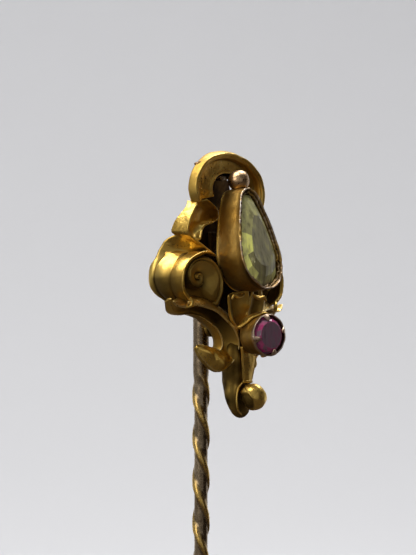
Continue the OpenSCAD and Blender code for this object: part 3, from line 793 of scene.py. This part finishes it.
# C-scrolls
scroll = {
    "rim": [(-6.85, 2.65, 8.65), (-6.4, 2.75, 8.2), (-5.7, 2.9, 8.1), (-4.65, 3.1, 8.25), (-3.75, 3.35, 8.15),
            (-2.9, 3.6, 7.9), (-2, 3.85, 7.32), (-1.2, 4.1, 6.52), (-0.75, 4.2, 5.45), (-0.9, 4, 4.5),
            (-1.45, 3.7, 3.76), (-1.95, 3.35, 3.46), (-2.5, 3, 3.7), (-3.1, 2.6, 4.4), (-3.45, 2.3, 5.15)],
    "ridge": [(-6.75, 2.4, 8.45), (-6.1, 2.3, 7.8), (-5.45, 2.35, 7.55), (-4.55, 2.65, 7.6),
              (-3.55, 2.9, 7.33), (-2.75, 3.1, 6.92), (-2.2, 3.25, 6.5), (-1.85, 3.35, 5.92),
              (-1.72, 3.35, 5.45), (-1.75, 3.25, 5.1), (-1.85, 3.1, 5), (-2.05, 2.9, 5.12),
              (-2.4, 2.68, 5.25), (-2.95, 2.5, 5.35), (-3.4, 2.28, 5.3)],
    # along both lines: depth of the hollow, width of the bevel, how far it falls back, depth of the side
    "hollow": [0, 0.05, 0.15, 0.25, 0.3, 0.35, 0.4, 0.4, 0.35, 0.1, -0.25, -0.4, -0.4, -0.3, -0.05],
    "bevel": [0.05, 0.2, 0.55, 0.75, 0.8, 0.8, 0.75, 0.65, 0.45, 0.2, 0.1, 0.1, 0.1, 0.08, 0.02],
    "slope": [0.1, 0.3, 0.6, 0.75, 0.75, 0.6, 0.4, 0.25, 0.2, 0.15, 0.1, 0.1, 0.1, 0.08, 0.02],
    "deep": [0.5, 0.75, 0.8, 0.8, 0.8, 0.85, 0.85, 0.85, 0.85, 0.85, 0.8, 0.7, 0.55, 0.35, 0.1],
    "sink": 1.5,
    # along, across, how wide along and across, how high: hammer marks on the horn
    "spots": [(0.79, 0.25, 0.030, 0.16, 0.20), (0.862, 0.52, 0.013, 0.09, -0.2),
              (0.91, 0.5, 0.028, 0.14, 0.16), (0.83, 0.7, 0.020, 0.12, 0.08), (0.76, 0.6, 0.018, 0.12, 0.07)],
}


def scrollParts():
    count = 230
    t = np.linspace(0, 1, count)
    rim, ridge = (readPath(smoothPath(scroll[key], 16), t) for key in ("rim", "ridge"))
    hollow, bevel, deep, slope = (readPath(smoothPath(np.array(scroll[key])[:, None], 16), t) for key in
                                  ("hollow", "bevel", "deep", "slope"))
    out = unitRows((rim - ridge) * [1, 0, 1])
    forwards = np.array([0, 1, 0])
    behind = -deep * forwards
    channel = np.clip(hollow[:, 0] / 0.3, 0, 1)
    # painted shade: the back wall, the channel (under the rim at first, nearer the ridge further along) and
    # the back of the inner wall are darkened
    ring, dirt = [], []
    for s in np.linspace(0, 1, 5):
        ring.append(rim + bevel * out - (slope + 0.25 * (1 - s)) * forwards)
        dirt.append(0.35 + 0 * t)
    for s in np.linspace(0.12, 1, 9):            # the bevel swells a little on its way to the rim
        ring.append(rim + bevel * out * (1 - s) + forwards * (0.12 * bevel * math.sin(math.pi * s)
                                                              - slope * (1 - s) ** 1.1))
        dirt.append(0 * t)
    for s in (0.03, 0.08, 0.15, 0.24, 0.34, 0.44, 0.54, 0.64, 0.74, 0.83, 0.9, 0.95, 0.98):
        # a round hollow in the channel, a soft fold on the horn
        sink = np.where(hollow > 0, math.sin(math.pi * s) ** 0.7, (1 - abs(2 * s - 1)) ** 0.8)
        lift = sum(high * np.exp(-((t - a) / wide) ** 2 - ((s - b) / across) ** 2)
                   for a, b, wide, across, high in scroll["spots"])[:, None]
        ring.append(rim + (ridge - rim) * s + forwards * (lift - hollow * sink * scroll["sink"]))
        early = np.interp(s, [0, 0.4, 0.7, 1], [0.92, 0.88, 0.6, 0.25])
        late = np.interp(s, [0, 0.4, 0.8, 1], [0.15, 0.3, 0.75, 0.3])
        dirt.append(channel * (early + (late - early) * np.clip((t - 0.42) / 0.15, 0, 1)))
    ring.append(ridge + [0, 0.05, 0])
    dirt.append(0 * t)
    for s in (0.06, 0.15, 0.35, 0.6, 0.8, 1):
        ring.append(ridge + behind * s - 0.06 * out * math.sin(math.pi * s))
        dirt.append(0.5 * channel)
    rings = uneven(np.stack(ring, 1), 0.03, 0.9, 12)
    body = loft(rings)
    # the rubbed edges: a fine raised line on the rim, a finer one on the ridge; their pale tone, like the
    # bevel's, is partly a painted highlight
    edge = bead(rings[6:158, 13], 0.09 * np.sin(np.linspace(0.08, 0.97, 152) * math.pi) ** 0.4, 10)
    fold = bead(rings[60:175, 27], 0.06 * np.sin(np.linspace(0.03, 0.97, 115) * math.pi) ** 0.5, 8)
    points, faces = joined(body, edge, fold)
    grain = np.tile([1.0 if 5 <= k <= 12 else 0.0 for k in range(rings.shape[1])], count)
    lines = len(points) - len(body[0])
    return points, faces, {
        "sooty": markAll(len(points), (0, np.stack(dirt, 1))),
        "pitted": markAll(len(points), (0, grain * 0.5)),
        "rubbed": markAll(len(points), (0, grain * 0.6), (len(body[0]), np.full(lines, 0.9)))}


def buildScrolls():
    points, faces, marks = scrollParts()
    finish(newPiece("left_scroll", points, faces, marks=marks), gold, "gold", "scroll_left")
    finish(newPiece("right_scroll", mirrored(points), faces, marks=marks), gold, "gold", "scroll_right")


# Pear setting
pear = {
    "bigR": 2.48, "smallR": 1.2, "span": 4.15, "sideR": 14,
    "faceForward": 5.7, "faceZ": 11.92, "faceLean": 13.6,
    "backForward": 3.4, "backZ": 11.82, "backLean": 7, "taper": 0.9, "lip": 0.3,
    # rings over the worn edge: inset, height, how torn, how rubbed, how dark with painted shade and dirt
    "edge": [(0.0, 0.05, 0.3, 0.8, 0.1), (0.03, 0.11, 0.5, 1, 0), (0.08, 0.13, 0.6, 1, 0),
             (0.12, 0.10, 0.8, 0.7, 0.2), (0.16, 0.0, 0.8, 0.2, 0.7), (0.22, -0.05, 1, 0.1, 0.75),
             (0.27, -0.02, 1.6, 0.4, 0.4), (0.31, 0.0, 2.2, 0.8, 0.1), (0.34, -0.05, 2.2, 0.5, 0.3),
             (0.34, -0.2, 0.6, 0.1, 0.8), (0.35, -0.42, 0, 0, 0.8)],
    # the plate that closes its back: inset and height
    "plate": [(0.12, -0.22), (0.04, -0.2), (0.0, -0.14), (0.0, -0.04), (0.03, 0.02)],
    # the stone, from its lowest facets to its table: share of the outline and height
    "stone": [(0.12, -1.75), (0.42, -1.45), (0.72, -1.0), (1, -0.42), (1, -0.3), (0.79, 0.06),
              (0.585, 0.24), (0.56, 0.26)],
    # the foil: share of the outline and height
    "foil": [(1.0, 0.5), (0.96, 0.2), (0.85, 0.07), (0.4, 0.05), (0.02, 0.05), (0.02, 0.03),
             (0.4, 0.03), (0.9, 0.04), (1.0, 0.16), (1.03, 0.5)],
}


def pearOutline(inset, count):
    # The pear's outline from its foot round to the right, at equal steps of its length
    big, small, side, rise = pear["bigR"] - inset, pear["smallR"] - inset, pear["sideR"], pear["span"]
    a, b = side - big, side - small
    cz = (a * a - b * b + rise * rise) / (2 * rise)
    cx = -math.sqrt(a * a - cz * cz)
    first, second = math.degrees(math.atan2(-cz, -cx)), math.degrees(math.atan2(rise - cz, -cx))
    arc = lambda c, r, low, high: [(c[0] + r * math.cos(u), c[1] + r * math.sin(u))
                                   for u in np.radians(np.linspace(low, high, 60))]
    half = (arc((0, 0), big, -90, first) + arc((cx, cz), side, first, second)[1:]
            + arc((0, rise), small, second, 90)[1:])
    whole = np.array(half + [(-x, z) for x, z in half[-2:0:-1]] + half[:1])
    length = np.concatenate([[0], np.cumsum(np.linalg.norm(np.diff(whole, axis=0), axis=1))])
    steps = np.linspace(0, length[-1], count, endpoint=False)
    return np.stack([np.interp(steps, length, whole[:, i]) for i in (0, 1)], -1)


def leaning(forward, z, lean, flat, out):
    lean = math.radians(lean)
    v = flat[:, 1]
    return np.stack([flat[:, 0], forward - v * math.sin(lean) + out * math.cos(lean),
                     z + v * math.cos(lean) + out * math.sin(lean)], -1)


def onFace(flat, out):
    return leaning(pear["faceForward"], pear["faceZ"], pear["faceLean"], flat, out)


def onBack(flat, out):
    return leaning(pear["backForward"], pear["backZ"], pear["backLean"], flat * [pear["taper"], 0.98], out)


def buildPearWall():
    count = 320
    turn = np.arange(count) / count * 2 * math.pi
    circle = np.stack([np.cos(turn), np.sin(turn), 0 * turn], -1)
    nicks = bumpy(circle, 0.10, 21)
    waves = bumpy(circle, 0.3, 23)
    ragged = np.clip(nicks * 1.8, -1, 1) * 0.07 + waves * 0.05
    outer = pearOutline(0, count)
    rings, rubbed, sooty = [], [], []
    foot = np.clip((0.2 - outer[:, 1]) / 2.2, 0, 1)
    for s in np.linspace(0, 1, 22):              # outer wall, a little full in the middle
        wall = onBack(outer, 0) * (1 - s) + onFace(outer, 0) * s
        middle = wall.mean(0) * [1, 0, 1] + wall * [0, 1, 0]
        full = 0.10 * math.sin(math.pi * min(1, s * 1.15))
        rings.append(wall + unitRows(wall - middle) * full)
        rubbed.append(0 * turn)
        # painted shade: darker towards the foot and near the face, in patches
        sooty.append(np.clip(0.12 + 0.55 * foot + 0.5 * max(0, s - 0.8) / 0.2 + 0.25 * waves, 0, 0.85))
    for inset, out, torn, shine, dirt in pear["edge"]:
        line = pearOutline(inset, count)
        line = line + unitRows(line - line.mean(0)) * (ragged * torn)[:, None]
        rings.append(onFace(line, out - np.abs(ragged) * torn * 0.7))
        rubbed.append(np.clip(shine * (0.7 + 1.2 * waves + 0.8 * nicks), 0, 1))
        sooty.append(np.clip(dirt + 0.6 * np.clip(-nicks * 2 - 0.2, 0, 1), 0, 0.9))
    rings += [onFace(pearOutline(0.6, count), -0.5), onBack(pearOutline(0.42, count), 0.0)]
    rubbed += [0 * turn, 0 * turn]
    sooty += [0 * turn + 0.6, 0 * turn + 0.3]
    rings = uneven(np.array(rings), 0.035, 0.7, 31)
    points, faces = loft(rings, closed=True)
    marks = {"rubbed": np.array(rubbed), "sooty": np.array(sooty)}
    finish(newPiece("pear_wall", points, faces, marks=marks), wallGold, "gold_red", "pear_collet")


def buildPearStone():
    rings = [onBack(pearOutline(inset, 160), out) for inset, out in pear["plate"]]
    finish(newPiece("pear_floor", *loft(rings)), gold, "gold", "pear_back")

    line = pearOutline(pear["lip"] + 0.02, 17)
    rings = [onFace(line * share + [0, 0.9 * (1 - share)], out) for share, out in pear["stone"]]
    stone = newPiece("pear_gem", *loft(rings), flat=True)
    lowZ, highZ = headFoot + 10.2 * headUnit, headFoot + 13.4 * headUnit

    def toneOf(face):
        if -face.normal.y > 0.93:
            return 0.0
        if face.center.z >= highZ:
            return 0.25
        # painted light: facets turned to the left get the bright side tone, the others a duller one
        return min(1.0, (0.8 if face.normal.x < -0.05 else 0.25) + 0.25 * math.sin(face.index * 2.4))

    # painted highlight: small facets turned right and forward, above the lower part, are marked to turn pale
    def glintOf(face):
        return float(face.area < 1.3e-8 and face.normal.x > 0.0 and -face.normal.y > 0.5
                     and face.center.z > lowZ)

    facets(stone, toneOf, glintOf)
    finish(stone, pearGlass, "pear_gem", "pear_stone")

    outline = pearOutline(0.5, 120)
    rings = [onBack(outline * share, out) for share, out in pear["foil"]]
    lining = loft(uneven(np.array(rings), 0.02, 0.4, 41), closed=True)
    finish(newPiece("pear_lining", *lining), pearFoil, "foil", "pear_foil")


# Bead above the pear
topBead = {"place": (0, 3.6, 17.7), "size": (0.81, 0.81, 0.80), "dents": 0.05, "seed": 51}


def buildBead():
    ball = blob(topBead["place"], topBead["size"], topBead["seed"], topBead["dents"], 60, 90)
    finish(newPiece("top_bead_ball", *ball), beadGold, "gold_red", "top_bead")


# Leaves between the settings
calyx = {
    "line": [(-0.3, 3.95, 6.3), (-0.6, 4.1, 7.1), (-0.95, 4.3, 8.0), (-1.25, 4.4, 9.2)],
    "half": [0.12, 0.7, 1.05, 1.1], "thick": 0.18,
}


def calyxParts():
    t, q = np.linspace(0, 1, 60), np.linspace(-1, 1, 31)
    line = readPath(smoothPath(calyx["line"], 16), t)[:, None]
    half = readPath(smoothPath(np.array(calyx["half"])[:, None], 16), t)
    fold = 1 - np.abs(q + 0.25) ** 1.2
    x = line[..., 0] + q * half * 0.9
    forward = line[..., 1] - 0.5 * fold * half + 0.10 * t[:, None] ** 3
    z = line[..., 2] + 0.25 * q * half
    grid = uneven(np.stack([x, forward, z], -1), 0.05, 0.5, 61)
    tip = readPath(line[:, 0], np.linspace(0.9, 1, 12))
    curl = smoothPath([tip[0] + [-0.95, 0.2, -0.1], tip[-1] + [-0.6, 0.15, -0.18],
                       tip[-1] + [0.0, 0.1, -0.3], tip[-1] + [0.5, 0.12, -0.15],
                       tip[-1] + [0.8, 0.0, 0.05]], 10)
    curlRadius = np.interp(np.linspace(0, 1, len(curl)), [0, 0.5, 1], [0.07, 0.13, 0.09])
    edge = grid[3:52, 0]
    edgeRadius = 0.10 * np.sin(np.linspace(0.1, 0.95, len(edge)) * math.pi) ** 0.5
    points, faces = joined(sheetSolid(grid, calyx["thick"]), bead(curl, curlRadius), bead(edge, edgeRadius))
    # painted shade: darker along the fold's hollow
    dirt = 0.15 + 0.55 * np.clip(fold, 0, 1) * (0 * half + 1)
    return points, faces, {"sooty": markAll(len(points), (0, [dirt, dirt]))}


def buildCalyx():
    points, faces, marks = calyxParts()
    finish(newPiece("left_calyx", points, faces, marks=marks), gold, "gold", "calyx_left")
    finish(newPiece("right_calyx", mirrored(points), faces, marks=marks), gold, "gold", "calyx_right")


# Round setting
rounded = {
    "x": 0.18, "z": 6.08, "base": 4.7, "depth": 2, "turn": 13, "rimR": 1.54,
    # radius and height of the cup's section, outside then inside
    "cup": [(0.05, -0.42), (0.8, -0.42), (0.95, -0.2), (1.12, 0.0), (1.36, 0.18), (1.42, 0.45), (1.46, 0.9),
            (1.5, 1.5), (1.55, 1.86), (1.56, 1.96), (1.52, 2.01), (1.46, 1.98), (1.43, 1.86), (1.40, 1.45),
            (1.1, 1.28), (0.85, 0.3), (0.05, 0.3)],
    "claws": 4, "clawTurn": 10, "clawWander": 0.12, "clawSeed": 3,
    # the stone: radius, height and turn of each ring, from its lowest facets to its table
    "stone": [(0.08, 0.55, 0), (0.7, 1.0, 0.1), (1.38, 1.58, 0), (1.38, 1.72, 0), (1.24, 1.98, 0.19),
              (1.0, 2.2, 0), (0.97, 2.21, 0)],
    # the foil: radius and height
    "foil": [(0.02, 0.34), (0.8, 0.34), (1.02, 0.95), (1.04, 0.95), (0.83, 0.32), (0.02, 0.31)],
    # spots of solder under the cup: place, size, seed
    "solder": [((0.1, -1.5, 1.2), (0.28, 0.2, 0.14), 83), ((-0.35, -1.42, 0.9), (0.2, 0.2, 0.13), 85)],
}


def onRound(points):
    # From the setting's own base, with z out of its face, to the head's units
    p = np.asarray(points, float)
    turn = math.radians(rounded["turn"])
    x, y, z = p[..., 0], p[..., 1], p[..., 2]
    side, out = x * math.cos(turn) - z * math.sin(turn), x * math.sin(turn) + z * math.cos(turn)
    return np.stack([rounded["x"] + side, rounded["base"] + out, rounded["z"] + y], -1)


def clawTree(claw, material):
    tree = bpy.data.node_groups.new("clawsRound", "GeometryNodeTree")
    tree.interface.new_socket("Geometry", in_out="OUTPUT", socket_type="NodeSocketGeometry")
    for name, kind in (("Claws", "NodeSocketInt"), ("Rim Radius", "NodeSocketFloat"),
                       ("First Angle", "NodeSocketFloat"), ("Unevenness", "NodeSocketFloat"),
                       ("Seed", "NodeSocketInt")):
        tree.interface.new_socket(name, in_out="INPUT", socket_type=kind)
    given = tree.nodes.new("NodeGroupInput").outputs
    result = tree.nodes.new("NodeGroupOutput")
    spots = addNode(tree, "GeometryNodeMeshLine", {"mode": "OFFSET"}, Count=given["Claws"])
    index = tree.nodes.new("GeometryNodeInputIndex").outputs[0]
    wander = addNode(tree, "FunctionNodeRandomValue", {"data_type": "FLOAT"})
    wander.inputs[2].default_value = -1.0
    wander.inputs[3].default_value = 1.0
    tree.links.new(index, wander.inputs["ID"])
    tree.links.new(given["Seed"], wander.inputs["Seed"])
    step = calc(tree, "DIVIDE", 2 * math.pi, given["Claws"])
    angle = calc(tree, "ADD", calc(tree, "MULTIPLY", index, step), given["First Angle"])
    angle = calc(tree, "ADD", angle, calc(tree, "MULTIPLY", wander.outputs[1], given["Unevenness"]))
    spot = addNode(tree, "ShaderNodeCombineXYZ",
                   X=calc(tree, "MULTIPLY", given["Rim Radius"], calc(tree, "COSINE", angle)),
                   Y=calc(tree, "MULTIPLY", given["Rim Radius"], calc(tree, "SINE", angle)))
    moved = addNode(tree, "GeometryNodeSetPosition", Geometry=spots.outputs[0], Position=spot.outputs[0])
    shape = addNode(tree, "GeometryNodeObjectInfo", Object=claw)
    facing = addNode(tree, "ShaderNodeCombineXYZ", Z=angle)
    placed = addNode(tree, "GeometryNodeInstanceOnPoints", Points=moved.outputs[0],
                     Instance=shape.outputs["Geometry"], Rotation=facing.outputs[0])
    real = addNode(tree, "GeometryNodeRealizeInstances", Geometry=placed.outputs[0])
    dressed = addNode(tree, "GeometryNodeSetMaterial", Geometry=real.outputs[0], Material=material)
    tree.links.new(dressed.outputs[0], result.inputs[0])
    return tree


def buildCup():
    section = smoothPath(rounded["cup"], 5)
    turn = np.linspace(0, 2 * math.pi, 120, endpoint=False)
    cup = np.stack([section[:, 0, None] * np.cos(turn), section[:, 0, None] * np.sin(turn),
                    section[:, 1, None] + 0 * turn], -1)
    ring = np.stack([np.cos(turn), np.sin(turn), 0 * turn], -1)
    edge = np.clip((section[:, 1] - 1.6) / 0.3, 0, 1)[:, None]
    cup[..., 2] += edge * (0.05 * bumpy(ring, 0.25, 71))[None]
    points, faces = loft(onRound(uneven(cup, 0.035, 0.5, 72)))
    rubbed = np.append(np.repeat(edge[:, 0], len(turn)), [0, 0]) * 0.8
    # painted shade: the lower side and the inside of the cup are darkened
    under = np.clip(-np.sin(turn) * 0.6 + 0.15, 0, 0.6)[None] * (1 - edge)
    inside = np.where(np.arange(len(section)) > len(section) * 0.68, 0.75, 0.0)[:, None] + 0 * turn[None]
    sooty = np.append(np.clip(0.1 + under + inside, 0, 0.9).ravel(), [0.6, 0.6])
    piece = newPiece("round_cup", points, faces, marks={"rubbed": rubbed, "sooty": sooty})
    finish(piece, wallGold, "gold_red", "round_collet")


def buildClaws():
    # one claw, standing at the origin and reaching inwards over the stone
    t, q = np.linspace(0, 1, 14), np.linspace(-1, 1, 9)
    reach = 0.02 - 0.40 * t
    height = rounded["depth"] - 0.04 + 0.24 * np.sin(t * 1.7) ** 1.2
    width = 0.27 * (1 - 0.8 * t ** 1.1)
    grid = np.stack([reach[:, None] + 0 * q, width[:, None] * q,
                     height[:, None] - 0.06 * q ** 2 + 0 * t[:, None]], -1)
    claw = newPiece("claw", *sheetSolid(grid, 0.13), placed=True)
    ringOfClaws = newObject("round_claws", bpy.data.meshes.new("round_claws"))
    bakedTree(ringOfClaws, clawTree(claw, beadGold), {
        "Claws": rounded["claws"], "Rim Radius": rounded["rimR"] - 0.04,
        "First Angle": math.radians(rounded["clawTurn"]), "Unevenness": rounded["clawWander"],
        "Seed": rounded["clawSeed"]})
    flat = np.array([v.co for v in ringOfClaws.data.vertices])
    ringOfClaws.data.vertices.foreach_set("co", toPlace(onRound(flat)).ravel())
    bpy.data.objects.remove(claw)
    turnOut(ringOfClaws.data)
    shine = ringOfClaws.data.attributes.new("rubbed", "FLOAT", "POINT")
    shine.data.foreach_set("value", np.full(len(flat), 0.35, np.float32))
    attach(ringOfClaws, "root")


def buildRoundStone():
    around = np.radians(np.arange(16) * 22.5)
    rings = [np.stack([r * np.cos(around + shift), r * np.sin(around + shift), z + 0 * around], -1)
             for r, z, shift in rounded["stone"]]
    stone = newPiece("round_gem", *loft(onRound(np.array(rings))), flat=True)
    outward = Vector(toPlace(onRound((0, 0, 1))) - toPlace(onRound((0, 0, 0)))).normalized()

    def toneOf(face):
        if face.normal.dot(outward) > 0.97:
            return 0.05
        return min(1.0, 0.6 + 0.45 * math.sin(face.index * 2.1))

    # painted highlight: small facets turned outward and to the right are marked to turn pale
    def glintOf(face):
        return float(face.area < 1.2e-8 and face.normal.dot(outward) > 0.3 and face.normal.x > 0.35)

    facets(stone, toneOf, glintOf)
    finish(stone, roundGlass, "round_gem", "round_stone")

    turn = np.linspace(0, 2 * math.pi, 120, endpoint=False)
    rings = [[(r * math.cos(a), r * math.sin(a), z) for a in turn] for r, z in rounded["foil"]]
    lining = loft(onRound(np.array(rings)), closed=True)
    finish(newPiece("round_lining", *lining), roundFoil, "foil", "round_foil")


def buildHusk():
    # leaf-edged collar over the top of the cup
    a = np.radians(np.linspace(20, 160, 110))
    t = np.linspace(0, 1, 24)
    rise = np.sin((a - a[0]) / (a[-1] - a[0]) * math.pi)
    low, high = 0.1 + 0.55 * rise, 0.15 + 1.3 * np.sqrt(np.clip(rise, 0, 1))
    forward = low[:, None] + (high - low)[:, None] * t[None]
    r = 1.6 + 0.06 * np.sin(t * math.pi)[None] + 0.03 * np.sin(a * 9)[:, None]
    collar = np.stack([r * np.cos(a)[:, None], r * np.sin(a)[:, None], forward], -1)
    solid = sheetSolid(onRound(uneven(collar, 0.04, 0.4, 81)), 0.17)
    finish(newPiece("husk", *solid), gold, "gold", "collet_husk")
    spots = joined(*(blob(onRound(place), size, seed, 0.3) for place, size, seed in rounded["solder"]))
    finish(newPiece("cup_solder", *spots), beadGold, "gold")


# Drop
drop = {
    "line": [(0, 3.65, 6.6), (0, 3.5, 5.9), (0, 3.4, 5.2), (0, 3.38, 4.4), (0, 3.36, 3.4), (0, 3.32, 2.5),
             (0, 3.35, 1.7), (0, 3.5, 0.98), (0, 3.65, 0.42), (0, 3.72, 0.1), (0, 3.72, 0)],
    # half its width and half its depth along that line
    "half": [(0.3, 0.3), (0.75, 0.6), (1.2, 0.95), (1.32, 1.15), (1.2, 1.15), (1.1, 1.05), (1.15, 0.82),
             (1.0, 0.8), (0.8, 0.62), (0.45, 0.35), (0.1, 0.1)],
    "faceTop": 5.2, "faceFoot": 2.62,
    "foldLine": [(-0.5, 4.3, 2.6), (-0.85, 4.15, 2.1), (-0.95, 4.12, 1.2), (-0.8, 4.15, 0.5),
                 (-0.45, 4.2, 0.2)],
    "ball": (0, 4.93, 1.53),
}


def buildDrop():
    t = np.linspace(0, 1, 130)
    turn = np.linspace(0, 2 * math.pi, 96, endpoint=False)
    line, half = (readPath(smoothPath(drop[key], 16), t) for key in ("line", "half"))
    half = np.maximum(half, 0.02)
    # two narrow ridges run down the front corners, with a hollow between them
    front = (turn - math.pi / 2 + math.pi) % (2 * math.pi) - math.pi
    ridges = 0.10 * np.exp(-((np.abs(front) - 0.75) / 0.16) ** 2) - 0.12 * np.exp(-(front / 0.45) ** 2)
    dent = 1 - 0.08 * np.sin(2 * turn) ** 2 + ridges
    x = line[:, 0, None] + half[:, 0, None] * dent * np.cos(turn)
    forward = line[:, 1, None] + half[:, 1, None] * dent * np.sin(turn)
    z = line[:, 2, None] + 0 * turn
    rings = uneven(np.stack([x, forward, z], -1), 0.05, 0.7, 91)
    body = loft(rings)
    # a raised face down the front that ends in a ledge, with a fine line at each side
    rows, cols = 40, 13
    down, across = np.linspace(0, 1, rows), np.linspace(-1, 1, cols)[None]
    facing = 3.36 + np.interp(down, [0, 0.6, 1], [1.18, 1.05, 0.95])
    height = np.linspace(drop["faceTop"], drop["faceFoot"], rows)
    spread = np.interp(down, [0, 1], [0.95, 0.42])
    face = np.stack([spread[:, None] * across, facing[:, None] + 0.12 - 0.1 * across ** 2,
                     height[:, None] + 0 * across], -1)
    facePart = sheetSolid(uneven(face, 0.03, 0.4, 93), 0.22)
    sides = [bead(np.stack([k * spread, facing + 0.1, height], -1), 0.07, 8) for k in (-1, 1)]
    ledge = bead([(0.5 * math.cos(a), facing[-1] + 0.02 + 0.16 * math.sin(a), drop["faceFoot"] + 0.04)
                  for a in np.linspace(0.1, math.pi - 0.1, 30)], 0.12)
    foldLine = smoothPath(drop["foldLine"], 12)
    fold = bead(foldLine, 0.08 * np.sin(np.linspace(0.08, 0.95, len(foldLine)) * math.pi) ** 0.4, 8)
    points, faces = joined(body, facePart, *sides, ledge, fold)
    marks = {
        # painted shade with some dirt: the stalk is darkened all over, in patches
        "sooty": markAll(len(points), (0, np.clip(0.8 + 0.3 * bumpy(rings, 0.8, 97), 0, 0.93))),
        "pitted": markAll(len(points), (len(body[0]), np.full(rows * cols, 0.5)))}
    finish(newPiece("drop_stem", points, faces, marks=marks), gold, "gold", "drop_stalk")


def buildBud():
    ball = unitBall(90, 120)
    # the bud opens on each side: below and behind a curved edge it is pressed in
    along, up = ball[..., 1] * 0.78 - np.abs(ball[..., 0]) * 0.62, ball[..., 2]
    edge = up + 0.15 - 1.6 * (along - 0.05) ** 2 * np.sign(0.05 - along) + 0.55 * along
    onSide = np.clip(np.abs(ball[..., 0]) * 3, 0, 1)
    opened = np.clip(-edge / 0.12, 0, 1) * np.clip(0.5 - along / 0.12, 0, 1) * onSide
    opened = opened * np.clip((0.35 - up) / 0.2, 0, 1)
    lip = np.exp(-((edge - 0.05) / 0.08) ** 2) * np.clip((0.1 - along) / 0.2, 0, 1) * onSide
    ball = ball * (1 - 0.16 * opened + 0.06 * lip)[..., None]
    points, faces = loft(np.array(drop["ball"]) + uneven(ball, 0.05, 0.8, 95))
    # painted shade: the pressed-in parts are darkened
    marks = {"sooty": markAll(len(points), (0, 0.8 * opened))}
    finish(newPiece("drop_curl", points, faces, marks=marks), gold, "gold", "drop_ball")


# Frame, posts and backs: the plain solids with their edges eased
def easedNode(name, node, width, material, slotName, paintedShadeFrom=None):
    mesh = frame["nodes"][node].data.copy()
    piece = newObject(name, mesh)
    made = bmesh.new()
    made.from_mesh(mesh)
    bmesh.ops.remove_doubles(made, verts=made.verts, dist=5e-7)
    bmesh.ops.dissolve_limit(made, angle_limit=math.radians(1), verts=made.verts, edges=made.edges)
    made.to_mesh(mesh)
    made.free()
    mesh.materials.clear()
    ease = piece.modifiers.new("ease", "BEVEL")
    ease.width = width
    ease.segments = 3
    ease.angle_limit = math.radians(40)
    bpy.context.view_layer.update()
    piece.data = bpy.data.meshes.new_from_object(piece.evaluated_get(bpy.context.evaluated_depsgraph_get()))
    piece.modifiers.clear()
    piece.data.shade_smooth()
    # painted shade: vertices forward of that depth turn black
    if paintedShadeFrom is not None:
        black = piece.data.attributes.new("sooty", "FLOAT", "POINT")
        front = [float(v.co.y < -paintedShadeFrom * headUnit) for v in piece.data.vertices]
        black.data.foreach_set("value", np.array(front, np.float32))
    finish(piece, material, slotName, node)


def buildBacks():
    # the last number is how far forward the metal is painted black as shade
    for name, node, width, material, slotName, *paintedShadeFrom in (
            ("frame_plate", "back_frame", 0.00008, gold, "gold", 1.15),
            ("stem_solder", "stem_pad", 0.00006, stemGold, "gold_stem"),
            ("hood_peg", "hood_post", 0.00004, stemGold, "gold_stem"),
            ("hood_cover", "hood_back", 0.00005, gold, "gold", 2.0),
            ("left_roll_cover", "leaf_back_left", 0.00006, gold, "gold"),
            ("right_roll_cover", "leaf_back_right", 0.00006, gold, "gold"),
            ("pear_peg", "pear_post", 0.00005, stemGold, "gold_stem"),
            ("round_peg", "round_post", 0.00005, gold, "gold")):
        easedNode(name, node, width, material, slotName, *paintedShadeFrom)


buildStem()
print("stem done")
buildHood()
buildBead()
print("hood and bead done")
buildLeaves()
buildVolutes()
print("leaves and volutes done")
buildScrolls()
buildCalyx()
print("scrolls and calyx done")
buildPearWall()
buildPearStone()
buildCup()
buildClaws()
buildRoundStone()
buildHusk()
print("settings done")
buildDrop()
buildBud()
buildBacks()
print("drop and backs done")
